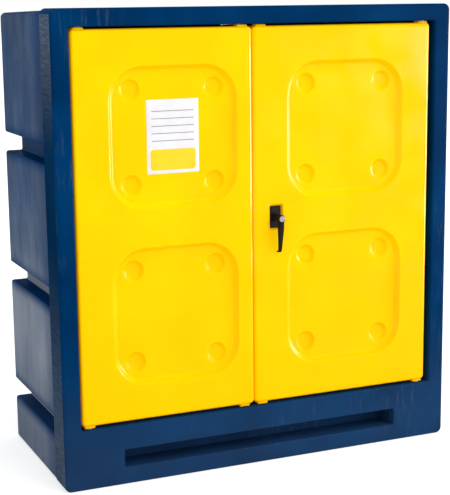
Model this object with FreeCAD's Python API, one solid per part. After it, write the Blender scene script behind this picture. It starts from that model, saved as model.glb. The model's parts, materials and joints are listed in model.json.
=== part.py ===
import FreeCAD, Part
import math
import os

from FreeCAD import Vector

# Two-door moulded cabinet for chemicals, in millimetres.
# X runs left to right, the doors face -Y and Z is up.
# The origin is the middle of the underside.

# Body: one moulded shell with a front frame, side grooves and a sump below the sill
WIDTH = 1200.0
DEPTH = 540.0
HEIGHT = 1300.0
WALL = 8.0
FRAME_POST = 50.0
FRAME_HEADER = 48.0
SILL_HEIGHT = 170.0
FRAME_BAND = 95.0
FRAME_CORNER = 18.0
FRAME_EDGE = 8.0
JAMB_DEPTH = 90.0
OPENING_EDGE = 5.0
SIDE_STEP = 7.0
ROOF_STEP = 5.0
ROOF_FALL = 7.0
BLOCK_CORNER = 15.0
BLOCK_EDGE = 8.0
GROOVE_DEPTH = 49.0
GROOVE_HEIGHT = 54.0
GROOVE_CENTRES = (157.5, 521.5, 913.5)
GROOVE_REAR_EDGE = 6.0
SLOT_SIDE = 172.0
SLOT_BOTTOM = 50.0
SLOT_HEIGHT = 50.0
SLOT_DEPTH = 80.0
SLOT_EDGE = 3.0

# Doors: hollow moulded panels that sit inside the frame
MEETING_OFFSET = -29.5
MEETING_GAP = 1.6
LEFT_JAMB_GAP = 3.5
RIGHT_JAMB_GAP = 13.0
DOOR_TOP_GAP = 6.0
DOOR_BOTTOM_GAP = 8.0
DOOR_SETBACK = 6.0
DOOR_THICKNESS = 40.0
DOOR_WALL = 6.0
DOOR_CORNER = 12.0
DOOR_FRONT_EDGE = 10.0
DOOR_BACK_EDGE = 5.0
PANEL_FROM_JAMB = 102.0
PANEL_FROM_CENTRE = 75.0
PANEL_END_MARGIN = 96.0
PANEL_SPACING = 102.0
PANEL_CORNER = 97.0
PANEL_DEPTH = 15.0
PANEL_SLOPE = 13.0
DIMPLE_INSET = 65.5
DIMPLE_MOUTH = 30.0
DIMPLE_FLOOR = 20.5
DIMPLE_DEPTH = 11.0
LUG_WIDTH = 31.0
LUG_EDGE = 3.0
FREE_LUG_INSET = 12.0

# Hinges: steel pins in the frame turn in plastic bushes in the doors
LEFT_PIVOT_FROM_EDGE = 24.5
RIGHT_PIVOT_FROM_EDGE = 22.0
PIN_RADIUS = 6.0
PIN_HEAD_RADIUS = 10.0
PIN_HEAD = 3.0
PIN_REACH = 22.0
BUSH_RADIUS = 9.0
BUSH_LENGTH = 26.0
BUSH_FLANGE_RADIUS = 12.0
BUSH_FLANGE = 1.0
TOP_FLANGE_GAP = 0.3

# Clearances
RUNNING = 0.05
PRESS = 0.02
LOOSE = 0.3

# How far a cutting tool passes the face that it opens
OVERSHOOT = 1.0

# Latch handle on the right door
HANDLE_FROM_MEETING = 69.5
HANDLE_HEIGHT = 714.5
PLATE_WIDTH = 32.0
PLATE_HEIGHT = 63.0
PLATE_THICKNESS = 5.0
PLATE_CORNER = 3.0
PLATE_EDGE = 1.0
POCKET_MARGIN = 5.0
POCKET_DEPTH = 8.0
POCKET_CORNER = 5.0
HANDLE_BOSS_WALL = 9.0
TUBE_RADIUS = 10.0
NUT_ACROSS_FLATS = 27.0
NUT_THICKNESS = 5.0
NUT_STANDOFF = 2.0
COLLAR_RADIUS = 12.5
COLLAR_LENGTH = 3.0
NECK_RADIUS = 9.0
HEAD_RADIUS = 10.5
HEAD_PROUD = 39.0
HEAD_DEPTH = 20.0
LEVER_LENGTH = 98.0
LEVER_TOP_WIDTH = 18.0
LEVER_TIP_WIDTH = 10.0
LEVER_TIP_FRONT = 26.0
LEVER_TIP_DEPTH = 5.0
FOOT_DEPTH = 16.0
FOOT_HEIGHT = 4.5
CORE_RADIUS = 8.3
CORE_LENGTH = 12.0
CORE_PROUD = 0.6
KEYWAY_WIDTH = 1.4
KEYWAY_HEIGHT = 7.5
KEYWAY_DEPTH = 4.0
SPINDLE_RADIUS = 6.0
SPINDLE_SOCKET = 14.0
SQUARE_SIDE = 8.0
CAM_WIDTH = 25.0
CAM_THICKNESS = 3.0
CAM_OVERLAP = 22.0
CAM_GAP = 1.0
WASHER_RADIUS = 8.5
WASHER_THICKNESS = 1.2
CAM_SCREW_RADIUS = 3.0
CAM_SCREW_LENGTH = 16.0
CAM_SCREW_FLATS = 10.0
CAM_SCREW_HEAD = 4.0

# Keep that the cam turns behind, on the left door
KEEP_WIDTH = 30.0
KEEP_HEIGHT = 64.0
KEEP_GAP = 0.5
KEEP_EDGE_INSET = 5.5
KEEP_LEAD_IN = 4.0

# Barrel bolts on the back of the left door
BOLT_FROM_MEETING = 45.0
BOLT_RADIUS = 6.0
BOLT_STANDOFF = 14.0
BOLT_LENGTH = 137.0
BOLT_TRAVEL = 20.0
BOLT_CHAMFER = 1.5
BOLT_END_GAP = 3.0
BOLT_FROM_DOOR_END = 10.0
BOLT_PLATE_WIDTH = 44.0
BOLT_PLATE_HEIGHT = 90.0
BOLT_PLATE_THICKNESS = 2.5
BARREL_WIDTH = 22.0
BARREL_WALL = 4.0
BARREL_EDGE = 5.5
KNOB_RADIUS = 4.0
KNOB_LENGTH = 14.0
KNOB_HEAD_RADIUS = 6.5
KNOB_HEAD_LENGTH = 5.0
STRIKE_WIDTH = 60.0
STRIKE_DEPTH = 30.0
STRIKE_THICKNESS = 2.0
STRIKE_HOLE_EXTRA = 1.0

# Pan-head screws
SCREW_RADIUS = 2.0
SCREW_HEAD_RADIUS = 4.0
SCREW_HEAD = 2.2
SCREW_GRIP = 5.0
SCREW_EDGE = 6.5
PLATE_SCREW_INSET = 5.0
STRIKE_SCREW_PROUD = 2.5
DRIVE_WIDTH = 1.0
DRIVE_LENGTH = 4.6
DRIVE_DEPTH = 1.1

# Shelves, and the grid above the sump
SHELF_SIDE_GAP = 6.0
SHELF_REAR_GAP = 8.0
SHELF_FRONT_GAP = 8.0
SHELF_FLOOR = 8.0
SHELF_RIM = 26.0
SHELF_RIM_WALL = 9.0
SHELF_CORNER = 12.0
RIB_COUNT = 3
RIB_WIDTH = 14.0
RIB_DEPTH = 18.0
RIB_SIDE_GAP = 6.0
GRID_THICKNESS = 24.0
GRID_BORDER = 22.0
GRID_COLUMNS = 15
GRID_ROWS = 6
GRID_BAR = 9.0

# Blank contents label on the upper panel of the left door
LABEL_WIDTH = 150.0
LABEL_HEIGHT = 200.0
LABEL_THICKNESS = 0.5
LABEL_CORNER = 2.0

# Places worked out from the sizes above
HALF_WIDTH = WIDTH / 2
FRONT = -DEPTH / 2
REAR = DEPTH / 2
BAND_BACK = FRONT + FRAME_BAND
JAMB_BACK = FRONT + JAMB_DEPTH
OPENING_HALF = HALF_WIDTH - FRAME_POST
OPENING_TOP = HEIGHT - FRAME_HEADER
BLOCK_HALF = HALF_WIDTH - SIDE_STEP
CORE_HALF = BLOCK_HALF - GROOVE_DEPTH
ROOF_FRONT = HEIGHT - ROOF_STEP
ROOF_REAR = ROOF_FRONT - ROOF_FALL
SLOT_HALF = HALF_WIDTH - SLOT_SIDE
DOOR_FRONT = FRONT + DOOR_SETBACK
DOOR_BACK = DOOR_FRONT + DOOR_THICKNESS
DOOR_BOTTOM = SILL_HEIGHT + DOOR_BOTTOM_GAP
DOOR_TOP = OPENING_TOP - DOOR_TOP_GAP
LEFT_DOOR_EDGES = (LEFT_JAMB_GAP - OPENING_HALF, MEETING_OFFSET - MEETING_GAP / 2)
RIGHT_DOOR_EDGES = (MEETING_OFFSET + MEETING_GAP / 2, OPENING_HALF - RIGHT_JAMB_GAP)
LEFT_PIVOT_X = LEFT_DOOR_EDGES[0] + LEFT_PIVOT_FROM_EDGE
RIGHT_PIVOT_X = RIGHT_DOOR_EDGES[1] - RIGHT_PIVOT_FROM_EDGE
PIVOT_Y = DOOR_FRONT + DOOR_THICKNESS / 2
PANEL_WIDTH = OPENING_HALF - PANEL_FROM_JAMB - PANEL_FROM_CENTRE
PANEL_HEIGHT = (DOOR_TOP - DOOR_BOTTOM - 2 * PANEL_END_MARGIN - PANEL_SPACING) / 2
PANEL_X = PANEL_FROM_CENTRE + PANEL_WIDTH / 2
LOWER_PANEL_Z = DOOR_BOTTOM + PANEL_END_MARGIN + PANEL_HEIGHT / 2
UPPER_PANEL_Z = DOOR_TOP - PANEL_END_MARGIN - PANEL_HEIGHT / 2
PANEL_FLOOR_Y = DOOR_FRONT + PANEL_DEPTH
HANDLE_X = MEETING_OFFSET + HANDLE_FROM_MEETING
POCKET_Y = DOOR_FRONT + POCKET_DEPTH
PLATE_Y = POCKET_Y - PLATE_THICKNESS
NUT_BACK = DOOR_BACK + NUT_THICKNESS
TUBE_BACK = NUT_BACK + NUT_STANDOFF
CAM_Y = TUBE_BACK + CAM_GAP
CAM_BACK = CAM_Y + CAM_THICKNESS
WASHER_BACK = CAM_BACK + WASHER_THICKNESS
CAM_LENGTH = HANDLE_X - LEFT_DOOR_EDGES[1] + CAM_OVERLAP
KEEP_RIGHT = LEFT_DOOR_EDGES[1] - KEEP_EDGE_INSET
BOLT_X = MEETING_OFFSET - BOLT_FROM_MEETING
BOLT_Y = DOOR_BACK + BOLT_STANDOFF
TINY = 0.01


def box(x_range, y_range, z_range):
    """A box between two values on each axis."""
    low = Vector(min(x_range), min(y_range), min(z_range))
    sizes = [abs(r[1] - r[0]) for r in (x_range, y_range, z_range)]
    return Part.makeBox(*sizes, low)


def cylinder(radius, start, end):
    """A cylinder from one point to another."""
    way = Vector(*end) - Vector(*start)
    return Part.makeCylinder(radius, way.Length, Vector(*start), way)


def lies_on(edge, places):
    """Whether an edge lies wholly at the given value of each named axis."""
    bounds = edge.BoundBox
    limits = {
        "x": (bounds.XMin, bounds.XMax),
        "y": (bounds.YMin, bounds.YMax),
        "z": (bounds.ZMin, bounds.ZMax),
    }
    return all(abs(v - places[axis]) < TINY for axis in places for v in limits[axis])


def rounded(shape, radius, *places):
    """The shape with a fillet on each edge that lies on one of the places."""
    edges = [e for e in shape.Edges if any(lies_on(e, place) for place in places)]
    return shape.makeFillet(radius, edges)


def fused(first, others):
    """One solid from several that overlap or touch."""
    return first.fuse(others).removeSplitter()


def rounded_outline(centre_x, centre_z, width, height, corner, y):
    """A closed rounded rectangle in the plane at the given y."""
    half_w = width / 2
    half_h = height / 2
    diagonal = corner * math.sqrt(0.5)
    edges = []
    corners = [(1, 1), (-1, 1), (-1, -1), (1, -1)]
    starts = []
    ends = []
    for i, (sx, sz) in enumerate(corners):
        cx = centre_x + sx * (half_w - corner)
        cz = centre_z + sz * (half_h - corner)
        on_side = Vector(cx + sx * corner, y, cz)
        on_end = Vector(cx, y, cz + sz * corner)
        middle = Vector(cx + sx * diagonal, y, cz + sz * diagonal)
        first, last = (on_side, on_end) if i % 2 == 0 else (on_end, on_side)
        starts.append(first)
        ends.append(last)
        edges.append(Part.Arc(first, middle, last).toShape())
        if i:
            edges.insert(-1, Part.makeLine(ends[i - 1], first))
    edges.append(Part.makeLine(ends[-1], starts[0]))
    return Part.Wire(edges)


def sloped_recess(centre_x, centre_z, grow, depth):
    """A panel-shaped tool with sloping sides, cut or kept back by `grow` all round."""
    wires = []
    slope = PANEL_SLOPE / PANEL_DEPTH
    for y in (-OVERSHOOT, depth):
        inset = y * slope - grow
        wires.append(
            rounded_outline(
                centre_x,
                centre_z,
                PANEL_WIDTH - 2 * inset,
                PANEL_HEIGHT - 2 * inset,
                PANEL_CORNER - inset,
                DOOR_FRONT + y,
            )
        )
    return Part.makeLoft(wires, True, True)


def upright_prism(points, x_range):
    """A profile in the YZ plane, pushed along X."""
    corners = [Vector(x_range[0], y, z) for y, z in points]
    face = Part.Face(Part.makePolygon(corners + corners[:1]))
    return face.extrude(Vector(x_range[1] - x_range[0], 0, 0))


def hexagon(flats, centre, length):
    """A hexagonal prism along +Y."""
    radius = flats / math.sqrt(3)
    x, y, z = centre
    turns = [math.radians(60 * i) for i in range(7)]
    points = [Vector(x + radius * math.cos(a), y, z + radius * math.sin(a)) for a in turns]
    return Part.Face(Part.makePolygon(points)).extrude(Vector(0, length, 0))


def roof_height(y):
    """Height of the roof, which falls slightly towards the rear."""
    return ROOF_FRONT - ROOF_FALL * (y - BAND_BACK) / (REAR - BAND_BACK)


def levels():
    """The heights between which the sides stand out at full width, under the roof."""
    cuts = [0.0]
    for centre in GROOVE_CENTRES:
        cuts += [centre - GROOVE_HEIGHT / 2, centre + GROOVE_HEIGHT / 2]
    return list(zip(cuts[0:-1:2], cuts[1::2]))


def top_level_bottom():
    """The underside of the highest full-width stretch."""
    return GROOVE_CENTRES[-1] + GROOVE_HEIGHT / 2


def body_outside():
    """The closed outer form of the body, before it is hollowed."""
    width = (-HALF_WIDTH, HALF_WIDTH)
    frame = box(width, (FRONT, BAND_BACK), (0, HEIGHT))
    corners = [{"x": x, "z": z} for x in width for z in (0, HEIGHT)]
    frame = rounded(frame, FRAME_CORNER, *corners)
    frame = rounded(frame, FRAME_EDGE, {"y": FRONT})
    behind = (BAND_BACK - WALL, REAR)
    core = box((-CORE_HALF, CORE_HALF), behind, (0, ROOF_REAR - BLOCK_CORNER))
    core = rounded(core, GROOVE_REAR_EDGE, {"x": -CORE_HALF, "y": REAR}, {"x": CORE_HALF, "y": REAR})
    sides = (-BLOCK_HALF, BLOCK_HALF)
    blocks = []
    for bottom, top in levels():
        block = box(sides, behind, (bottom, top))
        block = rounded(block, BLOCK_CORNER, *[{"x": x, "y": REAR} for x in sides])
        long_edges = [{"x": x, "z": z} for x in sides for z in (bottom, top)]
        blocks.append(rounded(block, BLOCK_EDGE, *long_edges))
    blocks.append(top_block(sides, behind))
    return fused(frame, [core] + blocks)


def top_block(sides, behind):
    """The highest block, whose roof falls towards the rear."""
    bottom = top_level_bottom()
    profile = [
        (behind[0], bottom),
        (behind[1], bottom),
        (behind[1], roof_height(behind[1])),
        (behind[0], roof_height(behind[0])),
    ]
    block = upright_prism(profile, sides)
    block = rounded(block, BLOCK_CORNER, *[{"x": x, "y": REAR} for x in sides])
    roof_edges = [e for e in block.Edges if is_roof_edge(e, behind[0])]
    block = block.makeFillet(BLOCK_CORNER, roof_edges)
    return rounded(block, BLOCK_EDGE, *[{"x": x, "z": bottom} for x in sides])


def is_roof_edge(edge, front):
    """Whether an edge borders the roof at its sides or rear."""
    bounds = edge.BoundBox
    at_front = abs(bounds.YMax - front) < TINY
    return bounds.ZMin > ROOF_REAR - TINY and not at_front


def body_cavity():
    """The space inside the body's skin, without the door surround and the slot."""
    frame = box(
        (WALL - HALF_WIDTH, HALF_WIDTH - WALL),
        (FRONT + WALL, BAND_BACK - WALL),
        (WALL, HEIGHT - WALL),
    )
    y_range = (FRONT + WALL, REAR - WALL)
    core_half = CORE_HALF - WALL
    core = box((-core_half, core_half), y_range, (WALL, top_level_bottom() + 2 * WALL))
    side_half = BLOCK_HALF - WALL
    sides = (-side_half, side_half)
    behind = (BAND_BACK - 2 * WALL, REAR - WALL)
    rooms = [box(sides, behind, (z0 + WALL, z1 - WALL)) for z0, z1 in levels()]
    profile = [
        (behind[0], top_level_bottom() + WALL),
        (behind[1], top_level_bottom() + WALL),
        (behind[1], roof_height(behind[1]) - WALL),
        (behind[0], roof_height(behind[0]) - WALL),
    ]
    rooms.append(upright_prism(profile, sides))
    cavity = fused(frame, [core] + rooms)
    surround = box(
        (-OPENING_HALF - WALL, OPENING_HALF + WALL),
        (FRONT, JAMB_BACK),
        (SILL_HEIGHT - WALL, OPENING_TOP + WALL),
    )
    slot_skin = box(
        (-SLOT_HALF - WALL, SLOT_HALF + WALL),
        (FRONT, FRONT + SLOT_DEPTH + WALL),
        (SLOT_BOTTOM - WALL, SLOT_BOTTOM + SLOT_HEIGHT + WALL),
    )
    return cavity.cut([surround, slot_skin])


def cabinet_body():
    opening_x = (-OPENING_HALF, OPENING_HALF)
    opening_z = (SILL_HEIGHT, OPENING_TOP)
    opening = box(opening_x, (FRONT - WALL, JAMB_BACK + TINY), opening_z)
    slot_x = (-SLOT_HALF, SLOT_HALF)
    slot_z = (SLOT_BOTTOM, SLOT_BOTTOM + SLOT_HEIGHT)
    slot = box(slot_x, (FRONT - WALL, FRONT + SLOT_DEPTH), slot_z)
    shell = body_outside().cut([body_cavity(), opening, slot])
    opening_front = [{"y": FRONT, "x": x} for x in opening_x]
    opening_front += [{"y": FRONT, "z": z} for z in opening_z]
    shell = rounded(shell, OPENING_EDGE, *opening_front)
    slot_front = [{"y": FRONT, "x": x} for x in slot_x]
    slot_front += [{"y": FRONT, "z": z} for z in slot_z]
    shell = rounded(shell, SLOT_EDGE, *slot_front)
    return shell.cut(frame_holes())


def frame_holes():
    """Holes through the lintel and the sill for the hinge pins, the bolts and their strikes."""
    tools = []
    for z0, z1 in frame_skins():
        span = (z0 - TINY, z1 + TINY)
        for x in (LEFT_PIVOT_X, RIGHT_PIVOT_X):
            tools.append(upright(PIN_RADIUS + PRESS, x, PIVOT_Y, span))
        tools.append(upright(BOLT_RADIUS + STRIKE_HOLE_EXTRA, BOLT_X, BOLT_Y, span))
        for x in strike_screw_places():
            tools.append(upright(SCREW_RADIUS + PRESS, x, BOLT_Y, span))
    return tools


def frame_skins():
    """The height ranges of the sill's skin and the lintel's skin."""
    return [(SILL_HEIGHT - WALL, SILL_HEIGHT), (OPENING_TOP, OPENING_TOP + WALL)]


def upright(radius, x, y, z_range):
    return cylinder(radius, (x, y, z_range[0]), (x, y, z_range[1]))


def strike_screw_places():
    reach = STRIKE_WIDTH / 2 - SCREW_EDGE
    return [BOLT_X - reach, BOLT_X + reach]


def hinge_ends():
    """For each end of a door: the frame's face, the way into the door, and the seat of the bush."""
    bottom_seat = SILL_HEIGHT + BUSH_FLANGE
    top_seat = OPENING_TOP - TOP_FLANGE_GAP - BUSH_FLANGE
    return [(SILL_HEIGHT, 1, bottom_seat), (OPENING_TOP, -1, top_seat)]


def hinge_pins():
    """Four headed pins, pushed through the frame's skins from inside."""
    pins = []
    for x in (LEFT_PIVOT_X, RIGHT_PIVOT_X):
        for face, way, seat in hinge_ends():
            shank = upright(PIN_RADIUS, x, PIVOT_Y, (face - way * WALL, seat + way * PIN_REACH))
            head_base = face - way * WALL
            head = upright(PIN_HEAD_RADIUS, x, PIVOT_Y, (head_base, head_base - way * PIN_HEAD))
            pins.append(fused(shank, [head]))
    return Part.makeCompound(pins)


def hinge_bushes(x):
    """The flanged bushes at a door's lower and upper ends."""
    bushes = []
    for _, way, seat in hinge_ends():
        sleeve = upright(BUSH_RADIUS, x, PIVOT_Y, (seat, seat + way * BUSH_LENGTH))
        flange = upright(BUSH_FLANGE_RADIUS, x, PIVOT_Y, (seat, seat - way * BUSH_FLANGE))
        bore_start = seat - way * (BUSH_FLANGE + OVERSHOOT)
        bore_end = seat + way * (BUSH_LENGTH + OVERSHOOT)
        bore = upright(PIN_RADIUS + RUNNING, x, PIVOT_Y, (bore_start, bore_end))
        bushes.append(fused(sleeve, [flange]).cut(bore))
    return Part.makeCompound(bushes)


def lug(x_range, seat, way):
    """A low pad on a door's end, whose face is at `seat`."""
    inset = 2 * LUG_EDGE
    depth = (DOOR_FRONT + inset, DOOR_BACK - inset)
    pad = box(x_range, depth, (seat, seat + way * DOOR_CORNER * 2))
    return rounded(pad, LUG_EDGE, {"x": x_range[0], "z": seat}, {"x": x_range[1], "z": seat})


def door_slab(edges, pivot_x, free_edge):
    """A door's outer form: a rounded slab with pads at the hinge and free corners."""
    inward = 1 if free_edge < pivot_x else -1
    z_range = (DOOR_BOTTOM, DOOR_TOP)
    slab = box(edges, (DOOR_FRONT, DOOR_BACK), z_range)
    slab = rounded(slab, DOOR_CORNER, *[{"x": x, "z": z} for x in edges for z in z_range])
    slab = rounded(slab, DOOR_FRONT_EDGE, {"y": DOOR_FRONT})
    slab = rounded(slab, DOOR_BACK_EDGE, {"y": DOOR_BACK})
    pads = []
    hinge_pad = (pivot_x - LUG_WIDTH / 2, pivot_x + LUG_WIDTH / 2)
    free_start = free_edge + inward * FREE_LUG_INSET
    free_pad = tuple(sorted((free_start, free_start + inward * LUG_WIDTH)))
    for _, way, seat in hinge_ends():
        pads += [lug(hinge_pad, seat, way), lug(free_pad, seat, way)]
    return fused(slab, pads)


def dimple_places(centre_x, centre_z):
    """The centres of the four dimples of one panel."""
    reach_x = PANEL_WIDTH / 2 - DIMPLE_INSET
    reach_z = PANEL_HEIGHT / 2 - DIMPLE_INSET
    return [(centre_x + i * reach_x, centre_z + k * reach_z) for i in (-1, 1) for k in (-1, 1)]


def dimple(x, z):
    """A shallow cone, from a panel's floor inwards."""
    flare = (DIMPLE_MOUTH - DIMPLE_FLOOR) / DIMPLE_DEPTH
    start = Vector(x, PANEL_FLOOR_Y - OVERSHOOT, z)
    mouth = DIMPLE_MOUTH + flare * OVERSHOOT
    return Part.makeCone(mouth, DIMPLE_FLOOR, DIMPLE_DEPTH + OVERSHOOT, start, Vector(0, 1, 0))


def panel_centres(side):
    return [(side * PANEL_X, LOWER_PANEL_Z), (side * PANEL_X, UPPER_PANEL_Z)]


def door_hollow(edges, side, pivot_x):
    """The sealed space inside a door, kept back from its recesses and bores."""
    room = box(
        (edges[0] + DOOR_WALL, edges[1] - DOOR_WALL),
        (DOOR_FRONT + DOOR_WALL, DOOR_BACK - DOOR_WALL),
        (DOOR_BOTTOM + DOOR_WALL, DOOR_TOP - DOOR_WALL),
    )
    keep = []
    through = (DOOR_FRONT, DOOR_BACK)
    for x, z in panel_centres(side):
        keep.append(sloped_recess(x, z, DOOR_WALL, PANEL_DEPTH + DOOR_WALL))
        for dx, dz in dimple_places(x, z):
            radius = DIMPLE_FLOOR + DOOR_WALL
            keep.append(cylinder(radius, (dx, through[0], dz), (dx, through[1], dz)))
    for _, way, seat in hinge_ends():
        deep = seat + way * (BUSH_LENGTH + 2 * DOOR_WALL)
        keep.append(box((pivot_x - 2 * BUSH_RADIUS, pivot_x + 2 * BUSH_RADIUS), through, (seat, deep)))
    return room.cut(keep)


def bush_bores(pivot_x):
    bores = []
    for _, way, seat in hinge_ends():
        span = (seat - way * OVERSHOOT, seat + way * (BUSH_LENGTH + OVERSHOOT))
        bores.append(upright(BUSH_RADIUS + PRESS, pivot_x, PIVOT_Y, span))
    return bores


def door(edges, side, pivot_x, free_edge, solid_zones, cuts):
    """A hollow door with two recessed panels of four dimples each."""
    shape = door_slab(edges, pivot_x, free_edge)
    tools = bush_bores(pivot_x) + cuts
    for x, z in panel_centres(side):
        tools.append(sloped_recess(x, z, 0, PANEL_DEPTH))
        tools += [dimple(dx, dz) for dx, dz in dimple_places(x, z)]
    hollow = door_hollow(edges, side, pivot_x)
    if solid_zones:
        hollow = hollow.cut(solid_zones)
    return shape.cut(tools).cut(hollow)


def left_door():
    cuts = [screw_hole(x, z) for x, z in bolt_screw_places() + keep_screw_places()]
    return door(LEFT_DOOR_EDGES, -1, LEFT_PIVOT_X, LEFT_DOOR_EDGES[1], [], cuts)


def right_door():
    width = PLATE_WIDTH + 2 * POCKET_MARGIN
    height = PLATE_HEIGHT + 2 * POCKET_MARGIN
    pocket = rounded_block(width, height, POCKET_CORNER, (DOOR_FRONT - OVERSHOOT, POCKET_Y))
    hole = cylinder(
        TUBE_RADIUS + LOOSE,
        (HANDLE_X, DOOR_FRONT, HANDLE_HEIGHT),
        (HANDLE_X, DOOR_BACK + OVERSHOOT, HANDLE_HEIGHT),
    )
    wall = 2 * HANDLE_BOSS_WALL
    boss = rounded_block(width + wall, height + wall, POCKET_CORNER, (DOOR_FRONT, DOOR_BACK))
    return door(RIGHT_DOOR_EDGES, 1, RIGHT_PIVOT_X, RIGHT_DOOR_EDGES[0], [boss], [pocket, hole])


def rounded_block(width, height, corner, y_range):
    """A rounded rectangular block about the handle's axis."""
    outline = rounded_outline(HANDLE_X, HANDLE_HEIGHT, width, height, corner, y_range[0])
    return Part.Face(outline).extrude(Vector(0, y_range[1] - y_range[0], 0))


def handle_cylinder(radius, y0, y1):
    """A cylinder on the handle's axis."""
    return cylinder(radius, (HANDLE_X, y0, HANDLE_HEIGHT), (HANDLE_X, y1, HANDLE_HEIGHT))


def handle_plate():
    """The plate in the door's pocket, with the tube that passes through the door."""
    plate = rounded_block(PLATE_WIDTH, PLATE_HEIGHT, PLATE_CORNER, (PLATE_Y, POCKET_Y))
    front = [e for e in plate.Edges if lies_on(e, {"y": PLATE_Y})]
    plate = plate.makeFillet(PLATE_EDGE, front)
    tube = handle_cylinder(TUBE_RADIUS, POCKET_Y, TUBE_BACK)
    bore = handle_cylinder(SPINDLE_RADIUS + RUNNING, PLATE_Y - OVERSHOOT, TUBE_BACK + OVERSHOOT)
    return fused(plate, [tube]).cut(bore)


def handle_nut():
    nut = hexagon(NUT_ACROSS_FLATS, (HANDLE_X, DOOR_BACK, HANDLE_HEIGHT), NUT_THICKNESS)
    hole = handle_cylinder(TUBE_RADIUS + PRESS, DOOR_BACK - OVERSHOOT, NUT_BACK + OVERSHOOT)
    return nut.cut(hole)


def lever_blade(head_front):
    """The tapering arm below the head, and the foot that turns back towards the door."""
    tip_z = HANDLE_HEIGHT - LEVER_LENGTH
    tip_front = DOOR_FRONT - LEVER_TIP_FRONT
    wires = []
    sections = [
        (HANDLE_HEIGHT, LEVER_TOP_WIDTH / 2, head_front, HEAD_DEPTH),
        (tip_z, LEVER_TIP_WIDTH / 2, tip_front, LEVER_TIP_DEPTH),
    ]
    for z, half, front, depth in sections:
        corners = [(-half, front), (half, front), (half, front + depth), (-half, front + depth)]
        points = [Vector(HANDLE_X + x, y, z) for x, y in corners]
        wires.append(Part.makePolygon(points + points[:1]))
    blade = Part.makeLoft(wires, True, True)
    half = LEVER_TIP_WIDTH / 2
    foot = box(
        (HANDLE_X - half, HANDLE_X + half),
        (tip_front, tip_front + FOOT_DEPTH),
        (tip_z, tip_z + FOOT_HEIGHT),
    )
    foot = rounded(foot, LEVER_TIP_DEPTH / 3, {"y": tip_front + FOOT_DEPTH, "z": tip_z})
    return blade, foot


def lever():
    """Neck, head, arm and foot in one piece, bored for the spindle and the lock core."""
    head_front = DOOR_FRONT - HEAD_PROUD
    head_back = head_front + HEAD_DEPTH
    neck_end = PLATE_Y - LOOSE
    head = handle_cylinder(HEAD_RADIUS, head_front, head_back)
    neck = handle_cylinder(NECK_RADIUS, head_back - OVERSHOOT, neck_end)
    collar = handle_cylinder(COLLAR_RADIUS, neck_end - COLLAR_LENGTH, neck_end)
    blade, foot = lever_blade(head_front)
    shape = fused(head, [neck, collar, blade, foot])
    core_bore = handle_cylinder(CORE_RADIUS + RUNNING, head_front - OVERSHOOT, core_seat())
    socket_span = (neck_end - SPINDLE_SOCKET, neck_end + OVERSHOOT)
    socket = handle_cylinder(SPINDLE_RADIUS + PRESS, *socket_span)
    return shape.cut([core_bore, socket])


def core_seat():
    """The floor of the pocket in the head that holds the lock core."""
    return DOOR_FRONT - HEAD_PROUD - CORE_PROUD + CORE_LENGTH


def lock_core():
    front = core_seat() - CORE_LENGTH
    core = handle_cylinder(CORE_RADIUS, front, core_seat())
    keyway = box(
        (HANDLE_X - KEYWAY_WIDTH / 2, HANDLE_X + KEYWAY_WIDTH / 2),
        (front - OVERSHOOT, front + KEYWAY_DEPTH),
        (HANDLE_HEIGHT - KEYWAY_HEIGHT / 2, HANDLE_HEIGHT + KEYWAY_HEIGHT / 2),
    )
    return core.cut(keyway)


def spindle():
    """A round shaft with a square end that drives the cam."""
    start = PLATE_Y - LOOSE - SPINDLE_SOCKET
    shaft = handle_cylinder(SPINDLE_RADIUS, start, CAM_Y)
    half = SQUARE_SIDE / 2
    square = box(
        (HANDLE_X - half, HANDLE_X + half),
        (CAM_Y, CAM_BACK - LOOSE),
        (HANDLE_HEIGHT - half, HANDLE_HEIGHT + half),
    )
    thread_end = CAM_BACK - CAM_SCREW_LENGTH - OVERSHOOT
    thread = handle_cylinder(CAM_SCREW_RADIUS + PRESS, thread_end, CAM_BACK)
    return fused(shaft, [square]).cut(thread)


def latch_cam():
    """A flat arm that points up at rest and reaches behind the left door when turned."""
    half = CAM_WIDTH / 2
    arm = box(
        (HANDLE_X - half, HANDLE_X + half),
        (CAM_Y, CAM_BACK),
        (HANDLE_HEIGHT - half, HANDLE_HEIGHT + CAM_LENGTH),
    )
    ends = [{"x": HANDLE_X + s * half, "z": z} for s in (-1, 1) for z in cam_ends(half)]
    arm = rounded(arm, half / 2, *ends)
    side = SQUARE_SIDE / 2 + RUNNING
    hole = box(
        (HANDLE_X - side, HANDLE_X + side),
        (CAM_Y - OVERSHOOT, CAM_BACK + OVERSHOOT),
        (HANDLE_HEIGHT - side, HANDLE_HEIGHT + side),
    )
    return arm.cut(hole)


def cam_ends(half):
    return (HANDLE_HEIGHT - half, HANDLE_HEIGHT + CAM_LENGTH)


def cam_washer():
    ring = handle_cylinder(WASHER_RADIUS, CAM_BACK, WASHER_BACK)
    hole = handle_cylinder(CAM_SCREW_RADIUS + LOOSE, CAM_BACK - OVERSHOOT, WASHER_BACK + OVERSHOOT)
    return ring.cut(hole)


def cam_screw():
    seat = WASHER_BACK
    head = hexagon(CAM_SCREW_FLATS, (HANDLE_X, seat, HANDLE_HEIGHT), CAM_SCREW_HEAD)
    shank = handle_cylinder(CAM_SCREW_RADIUS, CAM_BACK - CAM_SCREW_LENGTH, seat)
    return fused(shank, [head])


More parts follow.
